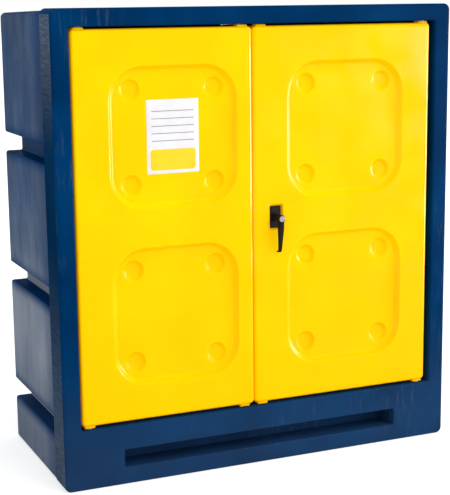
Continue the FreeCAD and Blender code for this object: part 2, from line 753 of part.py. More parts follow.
def latch_keep():
    """A block on the left door that the cam turns behind, with a sloped lead-in on top."""
    back = CAM_Y - KEEP_GAP
    low = HANDLE_HEIGHT - KEEP_HEIGHT / 2
    high = HANDLE_HEIGHT + KEEP_HEIGHT / 2
    profile = [
        (DOOR_BACK, low),
        (back, low),
        (back, high - 2 * KEEP_LEAD_IN),
        (back - KEEP_LEAD_IN, high),
        (DOOR_BACK, high),
    ]
    block = upright_prism(profile, (KEEP_RIGHT - KEEP_WIDTH, KEEP_RIGHT))
    sinks = []
    for x, z in keep_screw_places():
        end = (x, back + OVERSHOOT, z)
        sinks.append(cylinder(SCREW_RADIUS + PRESS, (x, DOOR_BACK - OVERSHOOT, z), end))
        sinks.append(cylinder(SCREW_HEAD_RADIUS + LOOSE, (x, keep_screw_seat(), z), end))
    return block.cut(sinks)


def keep_screw_seat():
    """Depth of the sunk seats for the keep's screw heads."""
    return CAM_Y - KEEP_GAP - SCREW_HEAD - LOOSE


def keep_screw_places():
    x = KEEP_RIGHT - KEEP_WIDTH / 2
    reach = KEEP_HEIGHT / 2 - 2 * SCREW_EDGE
    return [(x, HANDLE_HEIGHT - reach), (x, HANDLE_HEIGHT + reach)]


def keep_screws():
    seat = keep_screw_seat()
    grip = seat - DOOR_BACK + SCREW_GRIP
    return Part.makeCompound([door_screw(x, z, seat, grip) for x, z in keep_screw_places()])


def door_screw(x, z, seat, length):
    """A pan-head screw into the back of a door."""
    shank = cylinder(SCREW_RADIUS, (x, seat - length, z), (x, seat, z))
    head = cylinder(SCREW_HEAD_RADIUS, (x, seat, z), (x, seat + SCREW_HEAD, z))
    screw = fused(shank, [head])
    face = seat + SCREW_HEAD
    drive_y = (face - DRIVE_DEPTH, face + OVERSHOOT)
    return screw.cut(cross_drive(x, z, drive_y))


def cross_drive(x, z, y_range):
    """The two crossed slots in a screw head."""
    long = DRIVE_LENGTH / 2
    short = DRIVE_WIDTH / 2
    return [
        box((x - long, x + long), y_range, (z - short, z + short)),
        box((x - short, x + short), y_range, (z - long, z + long)),
    ]


def screw_hole(x, z):
    """A hole for a screw in the back of a door."""
    start = (x, DOOR_BACK - SCREW_GRIP - OVERSHOOT, z)
    return cylinder(SCREW_RADIUS + PRESS, start, (x, DOOR_BACK + OVERSHOOT, z))


def bolt_ends():
    """For each bolt: the way it moves, the door's end, and the face of its strike."""
    low_strike = SILL_HEIGHT + STRIKE_THICKNESS
    high_strike = OPENING_TOP - STRIKE_THICKNESS
    return {"lower": (-1, DOOR_BOTTOM, low_strike), "upper": (1, DOOR_TOP, high_strike)}


def bolt_plate_span(name):
    """The two ends in height of a bolt's mounting plate, the end near the strike first."""
    way, door_end, _ = bolt_ends()[name]
    near = door_end - way * BOLT_FROM_DOOR_END
    return near, near - way * BOLT_PLATE_HEIGHT


def bolt_knob_height(name):
    near, far = bolt_plate_span(name)
    way = bolt_ends()[name][0]
    return (near + far) / 2 - way * BOLT_TRAVEL / 2


def bolt_housing(name):
    """A plate with a bored barrel, slotted for the knob of the bolt."""
    way = bolt_ends()[name][0]
    span = bolt_plate_span(name)
    plate = box(
        (BOLT_X - BOLT_PLATE_WIDTH / 2, BOLT_X + BOLT_PLATE_WIDTH / 2),
        (DOOR_BACK, DOOR_BACK + BOLT_PLATE_THICKNESS),
        span,
    )
    barrel_back = BOLT_Y + BOLT_RADIUS + BARREL_WALL
    x_range = (BOLT_X - BARREL_WIDTH / 2, BOLT_X + BARREL_WIDTH / 2)
    barrel = box(x_range, (DOOR_BACK, barrel_back), span)
    barrel = rounded(barrel, BARREL_EDGE, *[{"x": x, "y": barrel_back} for x in x_range])
    bore = upright(BOLT_RADIUS + RUNNING, BOLT_X, BOLT_Y, (min(span) - OVERSHOOT, max(span) + OVERSHOOT))
    knob = bolt_knob_height(name)
    slot_half = KNOB_RADIUS + LOOSE
    slot = box(
        (BOLT_X - slot_half, BOLT_X + slot_half),
        (BOLT_Y, barrel_back + OVERSHOOT),
        (knob - way * slot_half, knob + way * (BOLT_TRAVEL + slot_half)),
    )
    holes = []
    for x, z in screw_corners(name):
        start = (x, DOOR_BACK - OVERSHOOT, z)
        holes.append(cylinder(SCREW_RADIUS + PRESS, start, (x, barrel_back, z)))
    return fused(plate, [barrel]).cut([bore, slot] + holes)


def screw_corners(name):
    near, far = bolt_plate_span(name)
    middle = (near + far) / 2
    reach_x = BOLT_PLATE_WIDTH / 2 - PLATE_SCREW_INSET
    reach_z = BOLT_PLATE_HEIGHT / 2 - SCREW_EDGE
    return [(BOLT_X + i * reach_x, middle + k * reach_z) for i in (-1, 1) for k in (-1, 1)]


def bolt_screw_places():
    return screw_corners("upper") + screw_corners("lower")


def bolt_screws():
    seat = DOOR_BACK + BOLT_PLATE_THICKNESS
    length = BOLT_PLATE_THICKNESS + SCREW_GRIP
    return Part.makeCompound([door_screw(x, z, seat, length) for x, z in bolt_screw_places()])


def bolt_rod(name):
    """A sliding rod with a knob, drawn back from its strike."""
    way, _, strike = bolt_ends()[name]
    end = strike - way * BOLT_END_GAP
    rod = upright(BOLT_RADIUS, BOLT_X, BOLT_Y, (end - way * BOLT_LENGTH, end))
    rod = rod.makeChamfer(BOLT_CHAMFER, [e for e in rod.Edges if lies_on(e, {"z": end})])
    z = bolt_knob_height(name)
    tip = BOLT_Y + BOLT_RADIUS + KNOB_LENGTH
    stem = cylinder(KNOB_RADIUS, (BOLT_X, BOLT_Y, z), (BOLT_X, tip, z))
    cap = cylinder(KNOB_HEAD_RADIUS, (BOLT_X, tip - KNOB_HEAD_LENGTH, z), (BOLT_X, tip, z))
    return fused(rod, [stem, cap])


def bolt_strike(name):
    """A plate on the frame with a hole for the bolt."""
    way, _, strike = bolt_ends()[name]
    z_range = (strike, strike + way * STRIKE_THICKNESS)
    plate = box(
        (BOLT_X - STRIKE_WIDTH / 2, BOLT_X + STRIKE_WIDTH / 2),
        (BOLT_Y - STRIKE_DEPTH / 2 + STRIKE_THICKNESS, BOLT_Y + STRIKE_DEPTH / 2),
        z_range,
    )
    span = (min(z_range) - OVERSHOOT, max(z_range) + OVERSHOOT)
    holes = [upright(BOLT_RADIUS + STRIKE_HOLE_EXTRA, BOLT_X, BOLT_Y, span)]
    holes += [upright(SCREW_RADIUS + PRESS, x, BOLT_Y, span) for x in strike_screw_places()]
    return plate.cut(holes)


def strike_screws():
    """Two screws through each strike, with low heads that clear the door."""
    screws = []
    for way, _, strike in bolt_ends().values():
        for x in strike_screw_places():
            length = STRIKE_THICKNESS + WALL + STRIKE_SCREW_PROUD
            shank = upright(SCREW_RADIUS, x, BOLT_Y, (strike, strike + way * length))
            head = upright(SCREW_HEAD_RADIUS, x, BOLT_Y, (strike - way * SCREW_HEAD, strike))
            screws.append(fused(shank, [head]))
    return Part.makeCompound(screws)


def shelf_span():
    """The X and Y ranges of a shelf inside the body."""
    half = BLOCK_HALF - WALL - SHELF_SIDE_GAP
    return (-half, half), (JAMB_BACK + SHELF_FRONT_GAP, REAR - WALL - SHELF_REAR_GAP)


def ledge_height(centre):
    """The height of the inner ledge that a groove makes."""
    return centre + GROOVE_HEIGHT / 2 + WALL


def shelf(centre):
    """A moulded tray that rests on two ledges, with ribs between them."""
    x_range, y_range = shelf_span()
    base = ledge_height(centre)
    tray = box(x_range, y_range, (base, base + SHELF_RIM))
    corners = [{"x": x, "y": y} for x in x_range for y in y_range]
    tray = rounded(tray, SHELF_CORNER, *corners)
    well = box(
        (x_range[0] + SHELF_RIM_WALL, x_range[1] - SHELF_RIM_WALL),
        (y_range[0] + SHELF_RIM_WALL, y_range[1] - SHELF_RIM_WALL),
        (base + SHELF_FLOOR, base + SHELF_RIM + OVERSHOOT),
    )
    rib_half = CORE_HALF - WALL - RIB_SIDE_GAP
    depth = y_range[1] - y_range[0]
    ribs = []
    for i in range(RIB_COUNT):
        y = y_range[0] + depth * (i + 0.5) / RIB_COUNT
        y_span = (y - RIB_WIDTH / 2, y + RIB_WIDTH / 2)
        ribs.append(box((-rib_half, rib_half), y_span, (base - RIB_DEPTH, base)))
    return fused(tray.cut(well), ribs)


def sump_grid():
    """A slotted grid that rests on the lowest ledges."""
    x_range, y_range = shelf_span()
    base = ledge_height(GROOVE_CENTRES[0])
    slab = box(x_range, y_range, (base, base + GRID_THICKNESS))
    pitch_x = (x_range[1] - x_range[0] - 2 * GRID_BORDER + GRID_BAR) / GRID_COLUMNS
    pitch_y = (y_range[1] - y_range[0] - 2 * GRID_BORDER + GRID_BAR) / GRID_ROWS
    slots = []
    for i in range(GRID_COLUMNS):
        for j in range(GRID_ROWS):
            x = x_range[0] + GRID_BORDER + i * pitch_x
            y = y_range[0] + GRID_BORDER + j * pitch_y
            over = (base - OVERSHOOT, base + GRID_THICKNESS + OVERSHOOT)
            slots.append(box((x, x + pitch_x - GRID_BAR), (y, y + pitch_y - GRID_BAR), over))
    return slab.cut(slots)


def contents_label():
    """A blank label on the floor of the left door's upper panel."""
    outline = rounded_outline(
        -PANEL_X, UPPER_PANEL_Z, LABEL_WIDTH, LABEL_HEIGHT, LABEL_CORNER, PANEL_FLOOR_Y - LABEL_THICKNESS
    )
    return Part.Face(outline).extrude(Vector(0, LABEL_THICKNESS, 0))


def parts():
    """Every sub-part of the cabinet, by the name of its node."""
    return {
        "cabinet_body": cabinet_body(),
        "hinge_pins": hinge_pins(),
        "upper_bolt_strike": bolt_strike("upper"),
        "lower_bolt_strike": bolt_strike("lower"),
        "strike_screws": strike_screws(),
        "left_door": left_door(),
        "left_hinge_bushes": hinge_bushes(LEFT_PIVOT_X),
        "contents_label": contents_label(),
        "latch_keep": latch_keep(),
        "keep_screws": keep_screws(),
        "upper_bolt_housing": bolt_housing("upper"),
        "lower_bolt_housing": bolt_housing("lower"),
        "bolt_screws": bolt_screws(),
        "upper_bolt_rod": bolt_rod("upper"),
        "lower_bolt_rod": bolt_rod("lower"),
        "right_door": right_door(),
        "right_hinge_bushes": hinge_bushes(RIGHT_PIVOT_X),
        "handle_plate": handle_plate(),
        "handle_nut": handle_nut(),
        "lever": lever(),
        "spindle": spindle(),
        "lock_core": lock_core(),
        "latch_cam": latch_cam(),
        "cam_washer": cam_washer(),
        "cam_screw": cam_screw(),
        "upper_shelf": shelf(GROOVE_CENTRES[2]),
        "lower_shelf": shelf(GROOVE_CENTRES[1]),
        "sump_grid": sump_grid(),
    }


os.makedirs("parts", exist_ok=True)
for node, shape in parts().items():
    volumes = [round(s.Volume / 1000, 2) for s in shape.Solids]
    print(node, "solids", len(volumes), "valid", shape.isValid(), "cm3", volumes)
    shape.exportStep(os.path.join("parts", node + ".step"))
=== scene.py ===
# %% [markdown]
# # A plastic storage cabinet, made piece by piece
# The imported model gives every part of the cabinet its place, in metres: X to the right, Y to the
# rear, Z up, with the origin in the middle of the underside. Each piece below is modelled at the
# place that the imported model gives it, so nothing is fitted or scaled afterwards. The sizes in
# this file are written in millimetres, as on a workshop drawing, and one constant turns them
# into metres.

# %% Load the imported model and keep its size
import json
import math

import bmesh
import bpy
from mathutils import Matrix, Vector


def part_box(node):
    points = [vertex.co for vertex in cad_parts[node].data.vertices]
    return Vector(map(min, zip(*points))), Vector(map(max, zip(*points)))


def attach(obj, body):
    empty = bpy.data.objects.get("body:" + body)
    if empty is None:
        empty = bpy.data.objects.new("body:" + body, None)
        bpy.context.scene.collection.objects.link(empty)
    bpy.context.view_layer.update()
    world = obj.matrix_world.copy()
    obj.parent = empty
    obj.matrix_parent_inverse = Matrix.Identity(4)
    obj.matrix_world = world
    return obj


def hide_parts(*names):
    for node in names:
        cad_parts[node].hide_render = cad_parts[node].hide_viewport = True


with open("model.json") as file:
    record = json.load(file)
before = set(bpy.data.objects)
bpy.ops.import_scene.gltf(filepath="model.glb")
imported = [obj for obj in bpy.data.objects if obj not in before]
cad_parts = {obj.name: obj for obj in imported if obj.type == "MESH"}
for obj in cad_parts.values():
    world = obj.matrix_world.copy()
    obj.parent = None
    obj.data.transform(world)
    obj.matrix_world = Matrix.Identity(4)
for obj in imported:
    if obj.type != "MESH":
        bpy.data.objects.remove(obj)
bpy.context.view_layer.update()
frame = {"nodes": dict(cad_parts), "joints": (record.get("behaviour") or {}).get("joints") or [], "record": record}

MM = 0.001

# %% [markdown]
# ## The camera
# The photograph was taken from the front left, a little above the cabinet's top. The camera is
# placed by three plain angles: how far it is turned to the right, how far it looks down and how
# far it is tilted. Its lens is written as the focal length in pixels of the photograph, because
# that is how it was measured from the cabinet's straight edges. The picture is taller than it is
# wide, so Blender lays the sensor's size along its height.

# %% Set up the camera
PHOTO_HEIGHT = 495
FOCAL_PIXELS = 1293.07
SENSOR_SIZE = 36.0
TURN, LOOK_DOWN, TILT = 23.51, 10.72, -0.66
CAMERA_PLACE = Vector((-1.5259, -3.4999, 1.3089))

camera_data = bpy.data.cameras.new("camera")
camera_data.sensor_width = SENSOR_SIZE
camera_data.lens = SENSOR_SIZE * FOCAL_PIXELS / PHOTO_HEIGHT
camera_data.clip_end = 200.0
camera = bpy.data.objects.new("camera", camera_data)
bpy.context.collection.objects.link(camera)
camera.matrix_world = (
    Matrix.Translation(CAMERA_PLACE)
    @ Matrix.Rotation(math.radians(-TURN), 4, "Z")
    @ Matrix.Rotation(math.radians(90 - LOOK_DOWN), 4, "X")
    @ Matrix.Rotation(math.radians(TILT), 4, "Z")
)
bpy.context.scene.camera = camera
bpy.context.scene.view_settings.view_transform = "Standard"
print("lens in mm:", round(camera_data.lens, 1))

# %% [markdown]
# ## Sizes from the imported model
# A part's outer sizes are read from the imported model, and the places of the hinges and the
# handle from its joints. Both are rounded to a hundredth of a millimetre, because metres are
# stored with about seven digits. The sides and their grooves are written here too, because the
# wear on the body follows them as well as its shape.

# %% Read the sizes of the body and the places of the hinges
def packed_box(node):
    """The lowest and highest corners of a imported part, in mm."""
    return [[round(c / MM, 2) for c in corner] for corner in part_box(node)]


def hinge_place(body):
    """A place on the axis that a body turns about, in mm."""
    places = {joint["child"]: joint["pos_m"] for joint in frame["joints"] if joint["type"] == "hinge"}
    return [round(c / MM, 2) for c in places[body]]


(_, FRONT, _), (HALF_WIDTH, REAR, HEIGHT) = packed_box("cabinet_body")
PIVOTS = {door: hinge_place(door)[0] for door in ("left_door", "right_door")}
PIVOT_Y = hinge_place("left_door")[1]
HANDLE_X, _, HANDLE_Z = hinge_place("lever")
print("hinges at", PIVOTS, "and handle at", HANDLE_X, HANDLE_Z)

# %% Sizes of the sides, and the blocks between their grooves
BAND_BACK = -175.0
SIDE_HALF, GROOVE_HALF = 593.0, 544.0
GROOVES = [(130.5, 184.5), (494.5, 548.5), (886.5, 940.5)]


def side_blocks(lowest, highest):
    """The (low, high) heights of a side's blocks, from the lowest height to the highest."""
    ends = [lowest] + [z for groove in GROOVES for z in groove] + [highest]
    return list(zip(ends[::2], ends[1::2]))


print("blocks of a side:", side_blocks(0.0, HEIGHT))

# %% [markdown]
# ## A small language for materials
# Every finish is a tree of nodes. Written out one by one, the nodes would fill pages, so a
# helper adds a node, sets its values and plugs in what feeds it. Patterns read Object
# coordinates: the pieces all sit at the origin in metres, so a noise scale of 100 means features
# about a centimetre wide, on every piece alike.

# %% Helpers that add nodes
def new_material(name):
    """A node material, with its tree and its main shader."""
    made = bpy.data.materials.new(name)
    made.use_nodes = True
    return made, made.node_tree, made.node_tree.nodes["Principled BSDF"]


def add_node(tree, kind, inputs=(), **settings):
    """Add a node; inputs are (socket, value or socket that feeds it) pairs."""
    made = tree.nodes.new(kind)
    for key, value in settings.items():
        setattr(made, key, value)
    for key, value in inputs:
        if isinstance(value, bpy.types.NodeSocket):
            tree.links.new(value, made.inputs[key])
        else:
            made.inputs[key].default_value = value
    return made


def calculated(tree, operation, *values):
    """One step of arithmetic on patterns or numbers, such as ADD or ABSOLUTE."""
    inputs = list(enumerate(values))
    return add_node(tree, "ShaderNodeMath", inputs, operation=operation).outputs["Value"]


print("materials before the first finish:", len(bpy.data.materials))

# %% [markdown]
# A pattern is a number from 0 to 1 at each point of a surface. A noise seldom leaves the middle
# of that range, so `spread` stretches a part of it, and the product of two patterns shows where
# both are strong.

# %% Helpers that make patterns
MIDDLE = (0.3, 0.7)


def object_space(tree, stretch=(1, 1, 1)):
    """Object coordinates, stretched for patterns that run one way."""
    place = add_node(tree, "ShaderNodeTexCoord").outputs["Object"]
    scaled = add_node(tree, "ShaderNodeMapping", [("Vector", place), ("Scale", stretch)])
    return scaled.outputs["Vector"]


def noise_value(tree, vector, scale, detail, roughness=0.5):
    """A soft random pattern from 0 to 1; more detail adds finer features."""
    settings = [("Vector", vector), ("Scale", scale), ("Detail", detail), ("Roughness", roughness)]
    return add_node(tree, "ShaderNodeTexNoise", settings).outputs["Fac"]


def spread(tree, value, low, high, to_low=0.0, to_high=1.0):
    """Stretch the part of a pattern between low and high to another range, with soft ends."""
    inputs = [
        ("Value", value), ("From Min", low), ("From Max", high), ("To Min", to_low), ("To Max", to_high),
    ]
    made = add_node(tree, "ShaderNodeMapRange", inputs, interpolation_type="SMOOTHSTEP")
    return made.outputs["Result"]


def times(tree, a, b):
    """The product of two patterns."""
    return calculated(tree, "MULTIPLY", a, b)


print("most of a noise lies between", *MIDDLE)

# %% Helpers for colours and bumps
def blend_colours(tree, amount, first, second):
    """Mix two colours, or two coloured patterns, by a pattern."""
    first, second = (c if isinstance(c, bpy.types.NodeSocket) else (*c, 1.0) for c in (first, second))
    inputs = [("Factor", amount), ("A", first), ("B", second)]
    mixed = add_node(tree, "ShaderNodeMix", inputs, data_type="RGBA")
    return next(s for s in mixed.outputs if s.type == "RGBA")


def bumps(tree, layers):
    """Stack bump layers, each a (pattern, depth in mm) pair; gives the normal to use."""
    normal = None
    for pattern, depth in layers:
        inputs = [("Height", pattern), ("Distance", depth * MM), ("Strength", 1.0)]
        if normal:
            inputs.append(("Normal", normal))
        normal = add_node(tree, "ShaderNodeBump", inputs).outputs["Normal"]
    return normal


def colour(red, green, blue):
    """A colour read off a picture (0 to 255) as the linear values that Blender works in."""
    def to_linear(c):
        c /= 255
        return c / 12.92 if c <= 0.04045 else ((c + 0.055) / 1.055) ** 2.4
    return tuple(to_linear(c) for c in (red, green, blue))


print("navy in linear values:", [round(c, 3) for c in colour(0, 50, 96)])

# %% [markdown]
# ## Rotomoulded plastic
# The body and the doors are moulded in a heated, turning mould. Such a skin is satin, never
# quite flat, and slightly mottled, because the powder melts unevenly. So the finish has a slow
# noise for the mottling, and broad swells and a fine skin as bumps. The shine stays low, because
# polyethylene reflects little head on. Worn marks, painted sheen and painted shade are laid over
# the colour in layers: each is a pattern that says where, and a colour. In a pale plastic light
# spreads below the skin and comes out redder, which keeps the shades of yellow orange instead of
# olive. A faint red glow, painted light that is the same all over, gives that without the grain
# that real scattering brings.

# %% A function for moulded plastic
RED_GLOW = (1.0, 0.16, 0.0, 1.0)
MOTTLE_SCALE, GLOSS_SCALE = 5.0, 14.0
SWELL_SCALE, SWELL_DEPTH = 4.0, 6.0
SKIN_SCALE, SKIN_DEPTH = 420.0, 0.06
TICK_SCALE, TICK_DEPTH = 10.0, 0.4


def moulded_plastic(name, deep, light, shine, roughness, wear_and_light=None, ticks=None, glow=0.0):
    """Satin moulded plastic, mottled from deep to light. wear_and_light(tree, space) gives
    (pattern, colour) layers of worn marks, painted sheen and painted shade.

    Light sinks into a pale plastic and comes out redder: glow says how much, as a painted red light
    evenly all over.
    """
    made, tree, shader = new_material(name)
    shader.inputs["Emission Color"].default_value = RED_GLOW
    shader.inputs["Emission Strength"].default_value = glow
    shader.inputs["Specular IOR Level"].default_value = shine
    space = object_space(tree)
    mottle = spread(tree, noise_value(tree, space, MOTTLE_SCALE, 2.0), *MIDDLE)
    base = blend_colours(tree, mottle, deep, light)
    for pattern, shade in (wear_and_light(tree, space) if wear_and_light else []):
        base = blend_colours(tree, pattern, base, shade)
    tree.links.new(base, shader.inputs["Base Color"])
    gloss = noise_value(tree, space, GLOSS_SCALE, 4.0)
    gloss = spread(tree, gloss, *MIDDLE, roughness - 0.05, roughness + 0.07)
    tree.links.new(gloss, shader.inputs["Roughness"])
    layers = [
        (noise_value(tree, space, SWELL_SCALE, 1.0), SWELL_DEPTH),
        (noise_value(tree, space, SKIN_SCALE, 2.0), SKIN_DEPTH),
    ]
    if ticks:
        layers.append((noise_value(tree, object_space(tree, ticks), TICK_SCALE, 3.0, 0.6), TICK_DEPTH))
    tree.links.new(bumps(tree, layers), shader.inputs["Normal"])
    return made


print("a swell of the skin is about", round(1 / SWELL_SCALE / MM), "mm wide")

# %% [markdown]
# The navy body has a painted sheen on its outer sides, chalky marks low down that are partly
# painted sheen, dust on the walls of the grooves that is partly painted sheen too, a paler foot
# and a few rubbed streaks. Each is tied to a place on the body by soft steps along the axes, and
# broken up by noise. A fade below is a pair of heights in mm: the mark starts at the first and
# is full at the second. The outer edge of the frame has a fine grain across it. Inside, where
# nothing rubs, the navy is plain.

# %% Helpers that say where worn marks and painted sheen lie
def where(tree, space, axis, low, high, to_low=0.0, to_high=1.0, absolute=False):
    """A soft step along an axis, between two places in mm; from 0 to 1 unless told otherwise."""
    value = add_node(tree, "ShaderNodeSeparateXYZ", [("Vector", space)]).outputs[axis]
    if absolute:
        value = calculated(tree, "ABSOLUTE", value)
    return spread(tree, value, low * MM, high * MM, to_low, to_high)


def between(tree, space, axis, low, high, soft, absolute=False):
    """1 between two places along an axis, fading to 0 at both over a soft distance."""
    rise = where(tree, space, axis, low, low + soft, absolute=absolute)
    return times(tree, rise, where(tree, space, axis, high, high - soft, absolute=absolute))


def behind_frame(tree, space):
    """1 from the frame's rear edge to just before the back of the cabinet."""
    start = where(tree, space, "Y", BAND_BACK - 5, BAND_BACK + 3)
    return times(tree, start, where(tree, space, "Y", REAR, REAR - 7))


def outer_sides(tree, space):
    """1 on the outer side walls, fading at the ends of each block and towards the frame."""
    blocks = 0.0
    for low, high in side_blocks(-100.0, HEIGHT + 10):
        block = between(tree, space, "Z", low - 8, high + 8, 45)
        blocks = calculated(tree, "MAXIMUM", block, blocks)
    walls = between(tree, space, "X", SIDE_HALF - 6.5, HALF_WIDTH + 10, 3, absolute=True)
    walls = times(tree, times(tree, walls, behind_frame(tree, space)), blocks)
    return times(tree, walls, where(tree, space, "Y", -160, -40, 0.4, 1.0))


print("wear on the sides starts", SIDE_HALF - 6.5, "mm from the middle")

# %% The worn marks and painted sheen of the body
# The pale greys of the sides are painted sheen, the pale cast of the light on the outer walls, mixed with chalk
# low down and dust in the grooves.
CHALK_AND_SHEEN_AMOUNT, FOOT_AMOUNT, RUBBED_AMOUNT = 0.46, 0.10, 0.30
FOOT_FADE, CHALK_AND_SHEEN_FADE, DUST_AND_SHEEN_FADE, SIDE_SHEEN_FADE = (420, 20), (640, 430), (850, 450), (950, 400)
CHALK_AND_SHEEN, DUST_AND_SHEEN, SIDE_SHEEN = colour(170, 172, 176), colour(150, 156, 166), colour(170, 182, 192)
FOOT_GREY, RUBBED_GREY = colour(96, 100, 88), colour(128, 138, 152)


def body_wear_and_sheen(tree, space):
    """A paler foot, chalky marks and painted sheen on the sides, dusty groove walls with painted sheen, and rubbed
    streaks.
    """
    foot = times(tree, where(tree, space, "Z", *FOOT_FADE), FOOT_AMOUNT)
    sides = outer_sides(tree, space)
    above_foot = where(tree, space, "Z", 360, 80, 1.0, 0.5)
    low_down = times(tree, where(tree, space, "Z", *CHALK_AND_SHEEN_FADE), above_foot)
    cloud = spread(tree, noise_value(tree, space, 3.2, 6.0, 0.62), 0.25, 0.75, 0.45, 1.0)
    # Chalk low on the sides, partly painted sheen.
    chalk_and_sheen = times(tree, times(tree, sides, low_down), times(tree, cloud, CHALK_AND_SHEEN_AMOUNT))
    # Dust on the groove walls, partly painted sheen.
    grooves = between(tree, space, "X", GROOVE_HALF - 3, GROOVE_HALF + 5, 2, absolute=True)
    grooves = times(tree, grooves, behind_frame(tree, space))
    dust_and_sheen = times(tree, grooves, where(tree, space, "Z", *DUST_AND_SHEEN_FADE, 0.08, 0.75))
    sheen_variation = noise_value(tree, object_space(tree, (3.0, 3.0, 1.0)), 4.0, 7.0, 0.68)
    # Painted sheen on the outer sides, stronger lower down.
    side_sheen = where(tree, space, "Z", *SIDE_SHEEN_FADE, 0.12, 0.28)
    side_sheen = times(tree, times(tree, sides, above_foot), side_sheen)
    side_sheen = times(tree, side_sheen, spread(tree, sheen_variation, 0.25, 0.75, 0.55, 1.45))
    streaks = noise_value(tree, object_space(tree, (26, 26, 3.0)), 4.0, 5.0, 0.6)
    patches = spread(tree, noise_value(tree, space, 3.0, 3.0), 0.50, 0.74)
    rubbed = times(tree, times(tree, spread(tree, streaks, 0.50, 0.85), patches), RUBBED_AMOUNT)
    return [(foot, FOOT_GREY), (chalk_and_sheen, CHALK_AND_SHEEN), (dust_and_sheen, DUST_AND_SHEEN), (side_sheen, SIDE_SHEEN), (rubbed, RUBBED_GREY)]


print("chalk covers up to", CHALK_AND_SHEEN_AMOUNT, "of the navy")

# %% The paler ends of the frame's outer edge
BAND_AMOUNT, BAND_GREY = 0.36, colour(150, 158, 166)


def band_paler_ends(tree, space):
    """The outer edge of the frame is paler at the top and the foot than between."""
    low_end = times(tree, where(tree, space, "Z", 720, 20), 0.75)
    ends = calculated(tree, "ADD", where(tree, space, "Z", 900, 1280), low_end)
    streaks = noise_value(tree, object_space(tree, (6, 6, 60)), 4.0, 3.0, 0.6)
    marks = spread(tree, streaks, 0.35, 0.70, 0.5, 1.0)
    return [(times(tree, times(tree, ends, marks), BAND_AMOUNT), BAND_GREY)]


print("the edge's ends are", BAND_AMOUNT, "paler at most")

# %% The navy finishes of the body
NAVY = (colour(0, 45, 88), colour(0, 56, 104))
NAVY_SHINE, NAVY_ROUGHNESS = 0.0015, 0.42
navy_plastic = moulded_plastic("navy_plastic", *NAVY, NAVY_SHINE, NAVY_ROUGHNESS, body_wear_and_sheen)
navy_grained = moulded_plastic(
    "navy_grained", colour(4, 40, 72), colour(8, 48, 82), 0.0, 0.6, band_paler_ends, ticks=(1, 1, 40)
)
navy_inside = moulded_plastic("navy_inside", *NAVY, NAVY_SHINE, NAVY_ROUGHNESS)
print("made", navy_plastic.name + ",", navy_grained.name, "and", navy_inside.name)

# %% [markdown]
# The doors are clean. A painted shade makes their yellow a little deeper towards the foot. Their
# yellow is glossier than the navy, so it shows the pale lines of the lights on its rounded edges.

# %% The yellow finish of the doors
def door_painted_shade(tree, space):
    """Painted shade: the yellow is a little deeper towards the foot."""
    return [(where(tree, space, "Z", 850, 150, 0.0, 0.55), colour(255, 196, 0))]


# The door finish carries the painted shade at the foot and a faint red glow all over, which is painted light.
yellow_plastic = moulded_plastic(
    "yellow_plastic", colour(255, 210, 0), colour(255, 218, 0), 0.03, 0.17, door_painted_shade, glow=0.14
)
print("made", yellow_plastic.name)

# %% [markdown]
# ## Metals, black parts and the rest
# The handle is a zinc casting with a black powder coat, which has a fine orange-peel skin. Its
# lock face is satin nickel, brushed by the lathe. Pins and bolts are bright steel, plates are
# zinc plated with a cloudy bloom, and the bushes, keep, shelves and grid are plain plastics.
# One function makes the metals and one the coats, because they differ only in values.

# %% A function for coats and plain plastics
def coated(name, tint, pale, roughness, grain_scale, grain_depth, shine=0.5):
    """A plain coat or plastic with a fine grain, in mm deep, and a faint change of shade."""
    made, tree, shader = new_material(name)
    space = object_space(tree)
    shade = spread(tree, noise_value(tree, space, 30.0, 3.0), *MIDDLE)
    tree.links.new(blend_colours(tree, shade, tint, pale), shader.inputs["Base Color"])
    gloss = noise_value(tree, space, 60.0, 2.0)
    gloss = spread(tree, gloss, *MIDDLE, roughness - 0.04, roughness + 0.06)
    tree.links.new(gloss, shader.inputs["Roughness"])
    shader.inputs["Specular IOR Level"].default_value = shine
    grain = noise_value(tree, space, grain_scale, 2.0)
    tree.links.new(bumps(tree, [(grain, grain_depth)]), shader.inputs["Normal"])
    return made


shelf_plastic = coated(
    "grey_polyethylene", colour(122, 128, 134), colour(136, 142, 148), 0.48, 420.0, 0.06, 0.3
)
grid_plastic = coated(
    "black_polyethylene", colour(34, 36, 40), colour(44, 46, 51), 0.46, 420.0, 0.06, 0.35
)
powder_coat = coated(
    "charcoal_powder_coat", colour(24, 18, 15), colour(34, 27, 24), 0.42, 900.0, 0.04, 0.02
)
black_nylon = coated("black_nylon", colour(30, 30, 33), colour(38, 38, 42), 0.5, 700.0, 0.03)
pale_nylon = coated("natural_nylon", colour(214, 208, 190), colour(224, 219, 203), 0.45, 500.0, 0.03)
white_vinyl = coated("white_vinyl", colour(236, 235, 240), colour(241, 240, 244), 0.42, 300.0, 0.01, 0.1)
print("coats and plastics so far:", len(bpy.data.materials))

# %% A function for metals
def metal(name, tint, pale, roughness, stretch, mark_depth):
    """A metal whose fine marks, in mm deep, run along one direction, with a soft change of shade."""
    made, tree, shader = new_material(name)
    marks = noise_value(tree, object_space(tree, stretch), 900.0, 3.0, 0.6)
    cloud = noise_value(tree, object_space(tree), 120.0, 3.0)
    base = blend_colours(tree, spread(tree, cloud, *MIDDLE), tint, pale)
    tree.links.new(base, shader.inputs["Base Color"])
    shader.inputs["Metallic"].default_value = 1.0
    gloss = spread(tree, marks, *MIDDLE, roughness - 0.06, roughness + 0.08)
    tree.links.new(gloss, shader.inputs["Roughness"])
    tree.links.new(bumps(tree, [(marks, mark_depth)]), shader.inputs["Normal"])
    return made


